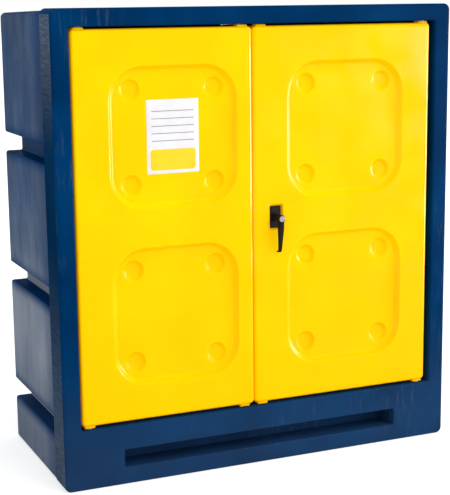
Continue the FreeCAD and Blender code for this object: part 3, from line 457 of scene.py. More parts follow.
EVEN, UPRIGHT_MARKS, DEEP_MARKS = (1, 1, 1), (1, 1, 0.05), (1, 0.05, 1)
nickel = metal("satin_nickel", colour(140, 132, 134), colour(158, 150, 152), 0.17, DEEP_MARKS, 0.004)
steel = metal("bright_steel", colour(156, 158, 162), colour(176, 178, 180), 0.22, UPRIGHT_MARKS, 0.003)
zinc = metal("zinc_plating", colour(138, 142, 148), colour(160, 163, 167), 0.24, EVEN, 0.003)
screw_steel = metal("screw_steel", colour(130, 132, 136), colour(156, 158, 160), 0.24, EVEN, 0.003)
print("made", nickel.name + ",", steel.name + ",", zinc.name, "and", screw_steel.name)

# %% [markdown]
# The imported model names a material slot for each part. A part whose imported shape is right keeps
# it and only gets the finish of its slot. The others get theirs below, with their new shape.

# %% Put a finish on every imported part
finishes = {
    "body_blue": navy_plastic, "door_yellow": yellow_plastic, "black_handle": powder_coat,
    "black_plastic": black_nylon, "lock_chrome": nickel, "pin_steel": steel, "zinc_plate": zinc,
    "screw_steel": screw_steel, "bush_nylon": pale_nylon, "label_vinyl": white_vinyl,
    "shelf_grey": shelf_plastic, "grid_black": grid_plastic,
}
slot_of = {part["node"]: part["material_slot"] for part in frame["record"]["subparts"]}
for node, node_object in frame["nodes"].items():
    node_object.data.materials.clear()
    node_object.data.materials.append(finishes[slot_of[node]])
print("finished", len(slot_of), "packed parts with", len(finishes), "finishes")

# %% [markdown]
# ## A small language for shapes
# Most pieces here are flat outlines with rounded corners that are pulled out, stepped in or
# sunk. `outline` makes the flat face and rounds its corners with a bevel. `walk` insets a face
# step by step: each step goes a little inwards and a little forwards, and many small steps make
# a rounded edge or a sloping wall. `open_in` cuts other flat faces out of a large one, so that
# each can be sunk in turn. This keeps every piece one closed skin without cutting solids.

# %% Helpers that make flat faces
FRONT_FACING, REAR_FACING = (0, -1, 0), (0, 1, 0)


def outline(bm, corners, steps=8):
    """A flat face through (x, y, z, corner radius) in mm; each corner is rounded by its radius."""
    verts = [bm.verts.new(Vector(c[:3]) * MM) for c in corners]
    face = bm.faces.new(verts)
    for radius in sorted({c[3] for c in corners if c[3]}):
        group = [v for v, c in zip(verts, corners) if c[3] == radius]
        made = bmesh.ops.bevel(
            bm, geom=group, offset=radius * MM, offset_type="OFFSET", segments=steps,
            profile=0.5, affect="VERTICES", material=-1,
        )
        face = made["verts"][0].link_faces[0]
    face.normal_update()
    return face


def upright_rectangle(x_range, z_range, y, radius=0.0):
    """The corners of a rectangle that faces the front at depth y."""
    (x0, x1), (z0, z1) = x_range, z_range
    return [(x0, y, z0, radius), (x1, y, z0, radius), (x1, y, z1, radius), (x0, y, z1, radius)]


def lying_rectangle(x_range, y_range, z, radius):
    """The corners of a rectangle that faces up at height z. In reverse, they face down."""
    (x0, x1), (y0, y1) = x_range, y_range
    return [(x0, y0, z, radius), (x1, y0, z, radius), (x1, y1, z, radius), (x0, y1, z, radius)]


def circle(bm, centre, radius, look, steps=32):
    """A flat round face; look is the direction that it faces."""
    turn = Vector((0, 0, 1)).rotation_difference(Vector(look)).to_matrix().to_4x4()
    made = bmesh.ops.create_circle(
        bm, cap_ends=True, segments=steps, radius=radius * MM,
        matrix=Matrix.Translation(Vector(centre) * MM) @ turn,
    )
    face = made["verts"][0].link_faces[0]
    face.normal_update()
    return face


print("corners of a square:", upright_rectangle((0, 1), (0, 1), 0))

# %% Helpers that pull and walk a face
SUNK_EDGE_STEPS = 4
WALL_STEEPNESS, WALL_STEPS = 55, 4


def pull(bm, face, move):
    """Extrude a flat face by a move in mm; the face that went along is returned."""
    made = bmesh.ops.extrude_face_region(bm, geom=[face, *face.edges, *face.verts])
    moved = [g for g in made["geom"] if isinstance(g, bmesh.types.BMVert)]
    bmesh.ops.translate(bm, verts=moved, vec=Vector(move) * MM)
    front = next(g for g in made["geom"] if isinstance(g, bmesh.types.BMFace))
    for changed in (front, face):
        if changed.is_valid:
            changed.normal_update()
    return front


def walk(bm, face, places):
    """Inset a face through (inwards, forwards) places in mm, starting from (0, 0)."""
    last = (0.0, 0.0)
    for place in places:
        bmesh.ops.inset_region(
            bm, faces=[face], thickness=(place[0] - last[0]) * MM, depth=(place[1] - last[1]) * MM,
            use_even_offset=True, use_boundary=True,
        )
        last = place


def arc(degrees, steps):
    """The angles of an arc in even steps, in radians, without its start."""
    return [math.radians(degrees) * i / steps for i in range(1, steps + 1)]


def turned_edge(radius, steps=5):
    """The places of a quarter round from a side wall to the face in front of it."""
    return [(radius * (1 - math.cos(a)), radius * math.sin(a)) for a in arc(90, steps)]


def sunk_edge(radius):
    """The places of a quarter round from a face to the wall of a hole in it."""
    return [(radius * math.sin(a), radius * (math.cos(a) - 1)) for a in arc(90, SUNK_EDGE_STEPS)]


def sloping_wall(depth, lip, foot):
    """The places of a wall that slopes down into a recess, with a rounded lip and foot."""
    steep, turns = math.radians(WALL_STEEPNESS), arc(WALL_STEEPNESS, WALL_STEPS)
    places = [(lip * math.sin(a), lip * (math.cos(a) - 1)) for a in turns]
    drop = depth - (lip + foot) * (1 - math.cos(steep))
    across, low = places[-1][0] + drop / math.tan(steep), places[-1][1] - drop
    for a in [0.0] + turns:
        left = steep - a
        onwards = foot * (math.sin(steep) - math.sin(left))
        down = foot * (math.cos(left) - math.cos(steep))
        places.append((across + onwards, low - down))
    return places


print("a quarter round of 1 mm:", [(round(a, 2), round(b, 2)) for a, b in turned_edge(1.0)])

# %% Helpers for blocks and openings
def slab(bm, corners, depth, front_edge, back_edge, steps=5):
    """A flat block with rounded edges: an outline pulled forwards by depth. Gives (front, back)."""
    back = outline(bm, corners)
    forward = back.normal.copy()
    front = pull(bm, back, forward * (depth - front_edge - back_edge))
    if front_edge:
        walk(bm, front, turned_edge(front_edge, steps))
    if back_edge:
        walk(bm, back, turned_edge(back_edge, steps))
    return front, back


def open_in(bm, face, holes):
    """Cut flat faces out of a larger one that they lie on. The hole faces stay, to be sunk."""
    edges = list(face.edges) + [e for hole in holes for e in hole.edges]
    normal = face.normal.copy()
    bmesh.ops.delete(bm, geom=[face], context="FACES_ONLY")
    bmesh.ops.triangle_fill(bm, use_beauty=True, edges=edges, normal=normal)


def bore_through(bm, walls, holes):
    """Cut a hole in each of two walls and join the two holes by a wall of their own."""
    for wall, hole in zip(walls, holes):
        open_in(bm, wall, [hole])
    edges = [e for hole in holes for e in hole.edges]
    bmesh.ops.delete(bm, geom=holes, context="FACES_ONLY")
    bmesh.ops.bridge_loops(bm, edges=edges)


def largest_face(bm, direction):
    """The largest flat face that looks in a direction."""
    for f in bm.faces:
        f.normal_update()
    return max((f for f in bm.faces if f.normal.dot(direction) > 0.999), key=lambda f: f.calc_area())


trial = bmesh.new()
slab(trial, upright_rectangle((0, 10), (0, 10), 0, 2.0), 5.0, 1.0, 1.0)
print("a small block with rounded edges has", len(trial.faces), "faces")
trial.free()

# %% [markdown]
# A mesh becomes a piece of the cabinet when it is an object with a finish. It also has to ride
# on a body, because the doors, the lever and the shelves move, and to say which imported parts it
# stands for, so that those are hidden. One function does this for every piece, so none of it can
# be forgotten. Curved walls are shaded smooth, and edges above an angle stay sharp.

# %% Turn a mesh into a piece
def finished(bm, name, body, nodes, sharp=40.0):
    """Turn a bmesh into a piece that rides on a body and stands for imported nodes."""
    mesh = bpy.data.meshes.new(name)
    bm.to_mesh(mesh)
    bm.free()
    mesh.shade_smooth()
    mesh.set_sharp_from_angle(angle=math.radians(sharp))
    piece = bpy.data.objects.new(name, mesh)
    bpy.context.collection.objects.link(piece)
    slot = slot_of[nodes[0]]
    mesh.materials.append(finishes[slot])
    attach(piece, body)
    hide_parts(*nodes)
    print(name, len(mesh.polygons), "faces")
    return piece


def even_shading(piece):
    """Shade by the large faces, so that flat walls look flat up to their rounded edges."""
    weighted = piece.modifiers.new("even_shading", "WEIGHTED_NORMAL")
    weighted.keep_sharp = True
    weighted.weight = 90


# %% [markdown]
# ## The body
# The body is one hollow moulding: a frame round the doorway, sides with three deep grooves that
# stiffen them and carry the shelves inside, a roof and a sump. It could be cut from solids, but a
# moulding is a skin, so it is modelled as one. The frame is a rounded block whose front face is
# opened for the doorway and the slot under the sill. Its back face is opened by the notched
# outline of the sides, and that outline is pulled to the rear. Last, a Solidify modifier gives
# the whole skin its wall, inwards, which also makes the ledges that the shelves rest on.

# %% Make the frame, with the doorway and the slot
FRAME_CORNER, FRAME_EDGE = 18.0, 8.0
DOORWAY_HALF, SILL, LINTEL, JAMB_BACK = 550.0, 170.0, 1252.0, -180.0
DOORWAY_CORNER, DOORWAY_EDGE = 9.0, 5.0
SLOT_HALF, SLOT_LOW, SLOT_HIGH, SLOT_DEPTH = 428.0, 50.0, 100.0, 80.0
SLOT_CORNER, SLOT_EDGE = 6.0, 3.0


def mouth(bm, half_width, low, high, edge, corner):
    """The mouth of an opening in the frame's front, wider than the opening by a rounded edge."""
    x_range = (-half_width - edge, half_width + edge)
    return outline(bm, upright_rectangle(x_range, (low - edge, high + edge), FRONT, corner))


body_mesh = bmesh.new()
frame_outline = upright_rectangle((-HALF_WIDTH, HALF_WIDTH), (0, HEIGHT), BAND_BACK, FRAME_CORNER)
frame_front, frame_back = slab(body_mesh, frame_outline, BAND_BACK - FRONT, FRAME_EDGE, 0.0)
rim_verts = set(frame_back.verts)
doorway = mouth(body_mesh, DOORWAY_HALF, SILL, LINTEL, DOORWAY_EDGE, DOORWAY_CORNER)
slot_mouth = mouth(body_mesh, SLOT_HALF, SLOT_LOW, SLOT_HIGH, SLOT_EDGE, SLOT_CORNER)
open_in(body_mesh, frame_front, [doorway, slot_mouth])
walk(body_mesh, doorway, sunk_edge(DOORWAY_EDGE))
jamb_end = pull(body_mesh, doorway, (0, JAMB_BACK - FRONT - DOORWAY_EDGE, 0))
walk(body_mesh, slot_mouth, sunk_edge(SLOT_EDGE))
pull(body_mesh, slot_mouth, (0, SLOT_DEPTH - SLOT_EDGE, 0))
bmesh.ops.delete(body_mesh, geom=[jamb_end], context="FACES_ONLY")
print("frame:", len(body_mesh.faces), "faces")

# %% [markdown]
# The walls that `pull` makes carry on the skin that they start from. So when a face is pushed
# into the block, its walls look into the opening, as those of the doorway and the slot should.
# The sides come next. Their outline runs up one side, over the roof and down the other, and
# steps in at each groove. The long edges are divided so that the large side walls have points
# to sink: a moulded wall is drawn in a little as it cools.

# %% Make the notched outline of the sides
UNDERSIDE, ROOF_FRONT = 0.2, 1295.0
OUTER_CORNER, INNER_CORNER, ROOF_CORNER = 8.0, 5.0, 15.0
LONG_EDGE, LONG_EDGE_CUTS = 80.0, 7


def side_corners(sign):
    """The corners up one side, from the underside to the roof."""
    corners = [(sign * SIDE_HALF, BAND_BACK, UNDERSIDE, OUTER_CORNER)]
    for low, high in GROOVES:
        corners += [
            (sign * SIDE_HALF, BAND_BACK, low, OUTER_CORNER),
            (sign * GROOVE_HALF, BAND_BACK, low, INNER_CORNER),
            (sign * GROOVE_HALF, BAND_BACK, high, INNER_CORNER),
            (sign * SIDE_HALF, BAND_BACK, high, OUTER_CORNER),
        ]
    return corners + [(sign * SIDE_HALF, BAND_BACK, ROOF_FRONT, ROOF_CORNER)]


rear = outline(body_mesh, side_corners(-1) + side_corners(1)[::-1], steps=5)
if rear.normal.y < 0:
    rear.normal_flip()
long_edges = [
    e for e in rear.edges
    if e.calc_length() > LONG_EDGE * MM and max(v.co.z for v in e.verts) > 10 * MM
]
bmesh.ops.subdivide_edges(body_mesh, edges=long_edges, cuts=LONG_EDGE_CUTS)
print("outline corners:", len(rear.verts))

# %% Pull the sides to the rear and round them off
REAR_EDGE, SIDE_STEPS = 7.5, 10
open_in(body_mesh, frame_back, [rear])
for step in range(SIDE_STEPS):
    rear = pull(body_mesh, rear, (0, (REAR - REAR_EDGE - BAND_BACK) / SIDE_STEPS, 0))
walk(body_mesh, rear, turned_edge(REAR_EDGE, 4))
open_in(body_mesh, rear, [])  # a notched face this large is safer as triangles
print("body skin:", len(body_mesh.faces), "faces")

# %% [markdown]
# The roof falls a little to the rear, so that water runs off. Each block of a side is drawn in
# most at its middle. A power under 1 makes that dent broad and flat.

# %% Lower the roof to the rear and draw the side walls in
ROOF_FALL, ROOF_ZONE = 7.0, 20.0
WALL_SINK, SINK_POWER = 2.4, 0.6


def share(value, low, high):
    """Where a value lies between two others, from 0 to 1."""
    return min(max((value - low) / (high - low), 0.0), 1.0)


for vert in body_mesh.verts:
    x, y, z = vert.co / MM
    if y <= BAND_BACK + 0.01:
        continue
    depth = share(y, BAND_BACK, REAR - REAR_EDGE)
    if z > ROOF_FRONT - ROOF_ZONE:
        vert.co.z -= ROOF_FALL * depth * MM
    if abs(abs(x) - SIDE_HALF) < 0.2:
        for low, high in side_blocks(UNDERSIDE, ROOF_FRONT):
            if low < z < high:
                sink = math.sin(math.pi * share(z, low, high)) * math.sin(math.pi * depth)
                vert.co.x -= math.copysign(WALL_SINK * sink ** SINK_POWER * MM, x)
print("the roof falls by", ROOF_FALL, "mm and the walls sink by", WALL_SINK, "mm")

# %% [markdown]
# The pins of the hinges and the bolts pass through the sill and the lintel, so the walls of the
# doorway get round holes there. A hole is a round face cut out of the wall and then deleted: the
# Solidify modifier closes its rim. The frame's rear edge is rounded a little with a bevel on the
# edges themselves, as the mould does.

# %% Make the holes for pins and bolts
PIN_HOLE = 6.1
BOLT_X, BOLT_Y, BOLT_HOLE = -74.5, -210.0, 7.0
HOLE_STEPS = 16
for look, height in (((0, 0, 1), SILL), ((0, 0, -1), LINTEL)):
    wall = max(
        (f for f in body_mesh.faces if abs(f.calc_center_median().z / MM - height) < 0.5),
        key=lambda f: f.calc_area(),
    )
    wall.normal_update()
    holes = [circle(body_mesh, (x, PIVOT_Y, height), PIN_HOLE, look, HOLE_STEPS) for x in PIVOTS.values()]
    holes.append(circle(body_mesh, (BOLT_X, BOLT_Y, height), BOLT_HOLE, look, HOLE_STEPS))
    open_in(body_mesh, wall, holes)
    bmesh.ops.delete(body_mesh, geom=holes, context="FACES_ONLY")
print("holes:", 2 * len(holes))

# %% Round the frame's rear edge and finish the body
RIM_EDGE, RIM_FOOT, BODY_WALL = 4.5, 30.0, 8.0
rim_edges = [
    e for e in body_mesh.edges
    if all(v in rim_verts for v in e.verts) and min(v.co.z for v in e.verts) > RIM_FOOT * MM
]
bmesh.ops.bevel(
    body_mesh, geom=rim_edges, offset=RIM_EDGE * MM, offset_type="OFFSET", segments=4,
    profile=0.5, affect="EDGES", material=-1, clamp_overlap=True,
)
for face in body_mesh.faces:
    place = face.calc_center_median() / MM
    if abs(place.x) > HALF_WIDTH - 0.5 and place.y < BAND_BACK:
        face.material_index = 1
cabinet_body = finished(body_mesh, "cabinet_body_skin", "cabinet", ["cabinet_body"])
cabinet_body.data.materials.append(navy_grained)
cabinet_body.data.materials.append(navy_inside)
wall = cabinet_body.modifiers.new("wall", "SOLIDIFY")
wall.thickness = BODY_WALL * MM
wall.offset = -1.0
wall.use_even_offset = True
wall.material_offset = 2
even_shading(cabinet_body)

# %% [markdown]
# ## The doors
# Each door is a hollow moulding too, but closed, so only its outside is modelled. Two large
# panels are sunk into its face, and each has four round dimples where the front skin meets the
# back and stiffens the door. The walls of panels and dimples slope, with a rounded lip and foot,
# because thick plastic can't follow a sharp corner. The right door also has a pocket, which is
# larger than the handle's plate by a margin and by its own rounded edge.

# %% Sizes of the doors
DOOR_BOXES = {name: packed_box(name) for name in PIVOTS}
DOOR_EDGES = {name: (low[0], high[0]) for name, (low, high) in DOOR_BOXES.items()}
(_, DOOR_FRONT, low_seat), (_, DOOR_BACK, high_seat) = DOOR_BOXES["left_door"]
DOOR_LOW, DOOR_HIGH, DOOR_CORNER = 178.0, 1246.0, 12.0
DOOR_FRONT_EDGE, DOOR_BACK_EDGE = 10.0, 5.0
PANEL_X, PANEL_HEIGHTS = 261.5, (467.5, 956.5)
PANEL_WIDTH, PANEL_TALL, PANEL_CORNER, PANEL_DEPTH = 373.0, 387.0, 97.0, 15.0
DIMPLE_X, DIMPLE_Z, DIMPLE_RADIUS, DIMPLE_DEPTH = 121.0, 128.0, 30.5, 11.0
PANEL_LIP, PANEL_FOOT, DIMPLE_LIP, DIMPLE_FOOT = 3.5, 5.0, 2.5, 4.0
(plate_left, PLATE_FRONT, plate_foot), (plate_right, TUBE_END, plate_top) = packed_box("handle_plate")
POCKET_MARGIN, POCKET_EDGE, POCKET_CORNER = 5.0, 1.5, 6.5
beyond_plate = POCKET_MARGIN + POCKET_EDGE
POCKET_X = (plate_left - beyond_plate, plate_right + beyond_plate)
POCKET_Z = (plate_foot - beyond_plate, plate_top + beyond_plate)
print("doors are", DOOR_BACK - DOOR_FRONT, "mm thick, from", DOOR_EDGES)

# %% A function that makes a door's skin
def door_skin(name, side):
    """A door with its panels and dimples. Gives the bmesh, the back and, on the right, the pocket."""
    bm = bmesh.new()
    z_range = (DOOR_LOW, DOOR_HIGH)
    corners = upright_rectangle(DOOR_EDGES[name], z_range, DOOR_BACK - DOOR_BACK_EDGE, DOOR_CORNER)
    front, back = slab(bm, corners, DOOR_BACK - DOOR_FRONT, DOOR_FRONT_EDGE, DOOR_BACK_EDGE, steps=6)
    sunk = []
    for z in PANEL_HEIGHTS:
        x = side * PANEL_X
        wide = (x - PANEL_WIDTH / 2, x + PANEL_WIDTH / 2)
        tall = (z - PANEL_TALL / 2, z + PANEL_TALL / 2)
        sunk.append(outline(bm, upright_rectangle(wide, tall, DOOR_FRONT, PANEL_CORNER), steps=20))
    if side > 0:
        sunk.append(outline(bm, upright_rectangle(POCKET_X, POCKET_Z, DOOR_FRONT, POCKET_CORNER), steps=5))
    open_in(bm, front, sunk)
    for panel, z in zip(sunk, PANEL_HEIGHTS):
        walk(bm, panel, sloping_wall(PANEL_DEPTH, PANEL_LIP, PANEL_FOOT))
        dimples = []
        for i, k in ((-1, -1), (-1, 1), (1, -1), (1, 1)):
            centre = (side * PANEL_X + i * DIMPLE_X, DOOR_FRONT + PANEL_DEPTH, z + k * DIMPLE_Z)
            dimples.append(circle(bm, centre, DIMPLE_RADIUS, FRONT_FACING, 48))
        open_in(bm, panel, dimples)
        for dimple in dimples:
            walk(bm, dimple, sloping_wall(DIMPLE_DEPTH, DIMPLE_LIP, DIMPLE_FOOT))
    return bm, back, sunk[-1]


print("panels are", PANEL_WIDTH, "x", PANEL_TALL, "mm")

# %% [markdown]
# Lugs on the ends of a door hold the hinge bushes, and two more near the free corners keep the
# door level when it shuts. A lug is a small block that starts inside the door, so it grows out
# of the door's end without a seam. At the hinge a bore runs through the lug and into the door.

# %% A function that adds a door's lugs
LUG_SEATS = {-1: low_seat, 1: high_seat}
LUG_Y, LUG_WIDE, LUG_ROOT, LUG_CORNER, LUG_EDGE = (-258.0, -230.0), 31.0, 6.0, 4.0, 3.0
FREE_LUG_INSET = 12.0
DOOR_BORE, LUG_BORE, BORE_DEPTH = 9.05, 9.1, 26.0


def free_lug(name):
    """The (left, right) places of the lugs near a door's free edge."""
    left, right = DOOR_EDGES[name]
    if name == "left_door":
        return right - FREE_LUG_INSET - LUG_WIDE, right - FREE_LUG_INSET
    return left + FREE_LUG_INSET, left + FREE_LUG_INSET + LUG_WIDE


def add_lugs(bm, name):
    """The lugs at a door's ends, and the bores for the hinge bushes."""
    pivot = PIVOTS[name]
    hinge_lug = (pivot - LUG_WIDE / 2, pivot + LUG_WIDE / 2)
    for way, end in ((-1, DOOR_LOW), (1, DOOR_HIGH)):
        seat, root = LUG_SEATS[way], end - way * LUG_ROOT
        outwards, inwards = Vector((0, 0, way)), Vector((0, 0, -way))
        wall = largest_face(bm, outwards)
        bore = circle(bm, (pivot, PIVOT_Y, end), DOOR_BORE, outwards)
        open_in(bm, wall, [bore])
        pull(bm, bore, (0, 0, seat - end - way * BORE_DEPTH))
        for x_range in (hinge_lug, free_lug(name)):
            corners = lying_rectangle(x_range, LUG_Y, root, LUG_CORNER)[::way]
            walls = slab(bm, corners, abs(seat - root), LUG_EDGE, 0.0, 4)
            if x_range is hinge_lug:
                bore_through(bm, walls, [
                    circle(bm, (pivot, PIVOT_Y, seat), LUG_BORE, outwards),
                    circle(bm, (pivot, PIVOT_Y, root), LUG_BORE, inwards),
                ])


print("lugs near the free edges:", {name: free_lug(name) for name in PIVOTS})

# %% Make the left door
left_mesh, _, _ = door_skin("left_door", -1)
add_lugs(left_mesh, "left_door")
left_door = finished(left_mesh, "left_door_skin", "left_door", ["left_door"], sharp=50.0)
even_shading(left_door)

# %% [markdown]
# The right door's pocket is sunk for the handle's plate. The plate's tube passes through the
# door, so the pocket's floor and the door's back each get a round hole, and the two holes are
# joined by a wall.

# %% Make the right door, with the pocket and the hole for the handle
POCKET_DEPTH, POCKET_FOOT, TUBE_HOLE = 8.0, 1.0, 10.1
right_mesh, right_back, pocket = door_skin("right_door", 1)
walk(right_mesh, pocket, sunk_edge(POCKET_EDGE))
pocket_floor = pull(right_mesh, pocket, (0, POCKET_DEPTH - POCKET_EDGE - POCKET_FOOT, 0))
walk(right_mesh, pocket_floor, [(0.3, -0.7), (POCKET_FOOT, -POCKET_FOOT)])
bore_through(right_mesh, (pocket_floor, right_back), [
    circle(right_mesh, (HANDLE_X, DOOR_FRONT + POCKET_DEPTH, HANDLE_Z), TUBE_HOLE, FRONT_FACING),
    circle(right_mesh, (HANDLE_X, DOOR_BACK, HANDLE_Z), TUBE_HOLE, REAR_FACING),
])
add_lugs(right_mesh, "right_door")
right_door = finished(right_mesh, "right_door_skin", "right_door", ["right_door"], sharp=50.0)
even_shading(right_door)

# %% [markdown]
# ## The handle
# The handle is a swing lever. A flat plate sits in the pocket, and a tube behind it passes
# through the door. The lever turns in front of the plate: a round head that holds the key
# cylinder, a neck back to a collar on the plate, and an arm that hangs down, tapers and turns
# back towards the door at its tip. The lever is one casting, so its parts are made as closed
# forms that run into each other, then fused by a Remesh modifier and eased by a Smooth
# modifier, which leaves the soft inner corners of a casting.

# %% Make the handle's plate and its tube
PLATE_BACK, PLATE_CORNER, PLATE_EDGE = -256.0, 3.0, 1.0
TUBE_RADIUS, SHAFT_HOLE = 10.0, 6.1
plate_mesh = bmesh.new()
plate_outline = upright_rectangle(
    (plate_left, plate_right), (plate_foot, plate_top), PLATE_BACK, PLATE_CORNER
)
plate_front, plate_back = slab(plate_mesh, plate_outline, PLATE_BACK - PLATE_FRONT, PLATE_EDGE, 0.0, steps=3)
tube = circle(plate_mesh, (HANDLE_X, PLATE_BACK, HANDLE_Z), TUBE_RADIUS, REAR_FACING)
open_in(plate_mesh, plate_back, [tube])
tube_end = pull(plate_mesh, tube, (0, TUBE_END - PLATE_BACK, 0))
bore_through(plate_mesh, (plate_front, tube_end), [
    circle(plate_mesh, (HANDLE_X, PLATE_FRONT, HANDLE_Z), SHAFT_HOLE, FRONT_FACING),
    circle(plate_mesh, (HANDLE_X, TUBE_END, HANDLE_Z), SHAFT_HOLE, REAR_FACING),
])
handle_plate = finished(plate_mesh, "handle_plate_casting", "right_door", ["handle_plate"])
even_shading(handle_plate)

# %% [markdown]
# The head, neck and collar are turned on a lathe in effect, so one profile spun round the axis
# makes them. It starts at the seat of the key cylinder, goes round the rim of the head, back
# along the neck and the collar, and ends in the bore for the spindle.

# %% Turn the head, the neck and the collar of the lever
(_, HEAD_FRONT, _), (_, COLLAR_BACK, _) = packed_box("lever")
(_, CORE_FRONT, _), (_, CORE_SEAT, _) = packed_box("lock_core")
HEAD_BACK, COLLAR_FRONT = -283.0, -264.3
CORE_SOCKET, HEAD_RADIUS, NECK_RADIUS, COLLAR_RADIUS = 8.4, 10.5, 9.0, 12.5
SPINDLE_BORE, SPINDLE_DEPTH = 6.05, 14.0
TURNED_STEPS = 48


def turned(bm, profile):
    """A solid turned round the handle's axis from (radius, y) places in mm, axis to axis."""
    verts = [bm.verts.new(Vector((HANDLE_X + r, y, HANDLE_Z)) * MM) for r, y in profile]
    edges = [bm.edges.new(pair) for pair in zip(verts, verts[1:])]
    bmesh.ops.spin(
        bm, geom=verts + edges, cent=Vector((HANDLE_X, 0, HANDLE_Z)) * MM, axis=(0, 1, 0),
        angle=math.radians(360), steps=TURNED_STEPS, use_merge=True,
    )


lever_mesh = bmesh.new()
turned(lever_mesh, [
    (0, CORE_SEAT), (CORE_SOCKET, CORE_SEAT), (CORE_SOCKET, HEAD_FRONT + 0.4),
    (CORE_SOCKET + 0.4, HEAD_FRONT), (HEAD_RADIUS - 0.8, HEAD_FRONT),
    (HEAD_RADIUS - 0.2, HEAD_FRONT + 0.5), (HEAD_RADIUS, HEAD_FRONT + 1.3),
    (HEAD_RADIUS, HEAD_BACK - 1.5), (HEAD_RADIUS - 0.5, HEAD_BACK - 0.4),
    (NECK_RADIUS, HEAD_BACK), (NECK_RADIUS, COLLAR_FRONT),
    (COLLAR_RADIUS - 0.4, COLLAR_FRONT), (COLLAR_RADIUS, COLLAR_FRONT + 0.4), (COLLAR_RADIUS, COLLAR_BACK),
    (SPINDLE_BORE, COLLAR_BACK), (SPINDLE_BORE, COLLAR_BACK - SPINDLE_DEPTH),
    (0, COLLAR_BACK - SPINDLE_DEPTH),
])
bmesh.ops.remove_doubles(lever_mesh, verts=lever_mesh.verts, dist=1e-6)
bmesh.ops.recalc_face_normals(lever_mesh, faces=lever_mesh.faces)
print("turned part:", len(lever_mesh.faces), "faces")

# %% [markdown]
# The arm is a stack of flat, rounded sections, each a little lower, narrower and thinner than
# the one above, joined by bridges. At the tip the sections turn backwards, which makes the foot.

# %% Make the arm of the lever
ARM_ROUNDNESS = 0.62
ARM = [
    # centre y, height, half width, depth, lean
    (-293.7, 712.0, 8.9, 18.0, 0), (-293.0, 702.0, 9.3, 16.6, 0), (-293.4, 695.0, 9.2, 14.0, 0),
    (-293.9, 687.0, 9.0, 11.0, 0), (-293.8, 680.0, 8.7, 9.2, 0), (-293.0, 668.0, 8.0, 7.6, 0),
    (-292.1, 657.0, 7.2, 6.6, 0), (-291.0, 646.0, 6.6, 5.8, 0), (-290.0, 636.0, 6.1, 5.2, 0),
    (-288.9, 627.0, 5.6, 5.0, 4), (-287.6, 622.2, 5.3, 4.9, 22), (-285.3, 619.4, 5.2, 4.6, 52),
    (-281.9, 618.7, 5.1, 4.2, 82), (-275.0, 618.6, 5.0, 3.9, 88),
]


def arm_section(bm, centre_y, height, half_width, depth, lean):
    """A rounded section of the arm; lean turns it from lying flat to standing upright."""
    half = depth / 2
    radius = min(half, half_width) * ARM_ROUNDNESS
    face = outline(bm, lying_rectangle((-half_width, half_width), (-half, half), 0, radius), steps=4)
    place = Matrix.Translation(Vector((HANDLE_X, centre_y, height)) * MM)
    turn = Matrix.Rotation(math.radians(lean), 4, "X")
    bmesh.ops.transform(bm, matrix=place @ turn, verts=list(face.verts))
    return face


sections = [arm_section(lever_mesh, *row) for row in ARM]
for upper, lower in zip(sections, sections[1:]):
    bmesh.ops.bridge_loops(lever_mesh, edges=list(upper.edges) + list(lower.edges))
bmesh.ops.delete(lever_mesh, geom=sections[1:-1], context="FACES_ONLY")
bmesh.ops.recalc_face_normals(lever_mesh, faces=lever_mesh.faces)
print("with the arm:", len(lever_mesh.faces), "faces")

# %% Fuse the lever into one casting
VOXEL = 0.55
lever = finished(lever_mesh, "lever_casting", "lever", ["lever"], sharp=60.0)
fuse = lever.modifiers.new("fuse", "REMESH")
fuse.mode = "VOXEL"
fuse.voxel_size = VOXEL * MM
fuse.use_smooth_shade = True
ease = lever.modifiers.new("ease", "SMOOTH")
ease.factor = 0.5
ease.iterations = 4

# %% [markdown]
# ## The key cylinder
# A disc of satin nickel fills the head, with a bevelled rim, a shallow ring cut by the lathe
# and a slot for the key. The rim and the ring are steps of an inset, and the slot is sunk like
# a pocket.

# %% Make the key cylinder
CORE_GAP, CORE_RADIUS, RIM_RISE = 0.05, 8.3, 0.4
RIM_AND_RING = [(0.15, 0.3), (0.45, RIM_RISE), (2.3, RIM_RISE), (2.5, 0.15), (3.0, 0.15), (3.2, RIM_RISE)]
KEYWAY_HALF_WIDTH, KEYWAY_HALF_HEIGHT, KEYWAY_DEPTH = 0.7, 3.75, 4.0
core_low = CORE_SEAT - CORE_GAP
core_mesh = bmesh.new()
core_back = circle(core_mesh, (HANDLE_X, core_low, HANDLE_Z), CORE_RADIUS, FRONT_FACING, 48)
core_front = pull(core_mesh, core_back, (0, CORE_FRONT - core_low + RIM_RISE, 0))
walk(core_mesh, core_front, RIM_AND_RING)
keyway = outline(core_mesh, upright_rectangle(
    (HANDLE_X - KEYWAY_HALF_WIDTH, HANDLE_X + KEYWAY_HALF_WIDTH),
    (HANDLE_Z - KEYWAY_HALF_HEIGHT, HANDLE_Z + KEYWAY_HALF_HEIGHT), CORE_FRONT, 0.3
), steps=3)
open_in(core_mesh, core_front, [keyway])
pull(core_mesh, keyway, (0, KEYWAY_DEPTH, 0))
lock_core = finished(core_mesh, "lock_core_face", "lock_core", ["lock_core"])
even_shading(lock_core)

# %% [markdown]
# ## The contents label
# A label of white vinyl lies in the left door's upper panel, for writing down what is kept
# inside. It is blank: a plain yellow band along its foot and thin grey lines to write on. The
# band and the lines are flat faces of their own, cut into the label's face, so that they have
# clean edges, and each gets its own finish.

# %% Make the label's sheet, with its band and lines
LABEL_CORNER, LABEL_EDGE = 2.2, 0.1
BAND_INSET, BAND_TOP, BAND_CORNER = 9.0, 66.0, 9.0
RULE_INSET, RULE_WIDTH, RULE_GAP, FIRST_RULE, RULE_COUNT = 14.0, 1.8, 20.0, 88.0, 5
label_low, label_high = (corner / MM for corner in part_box("contents_label"))


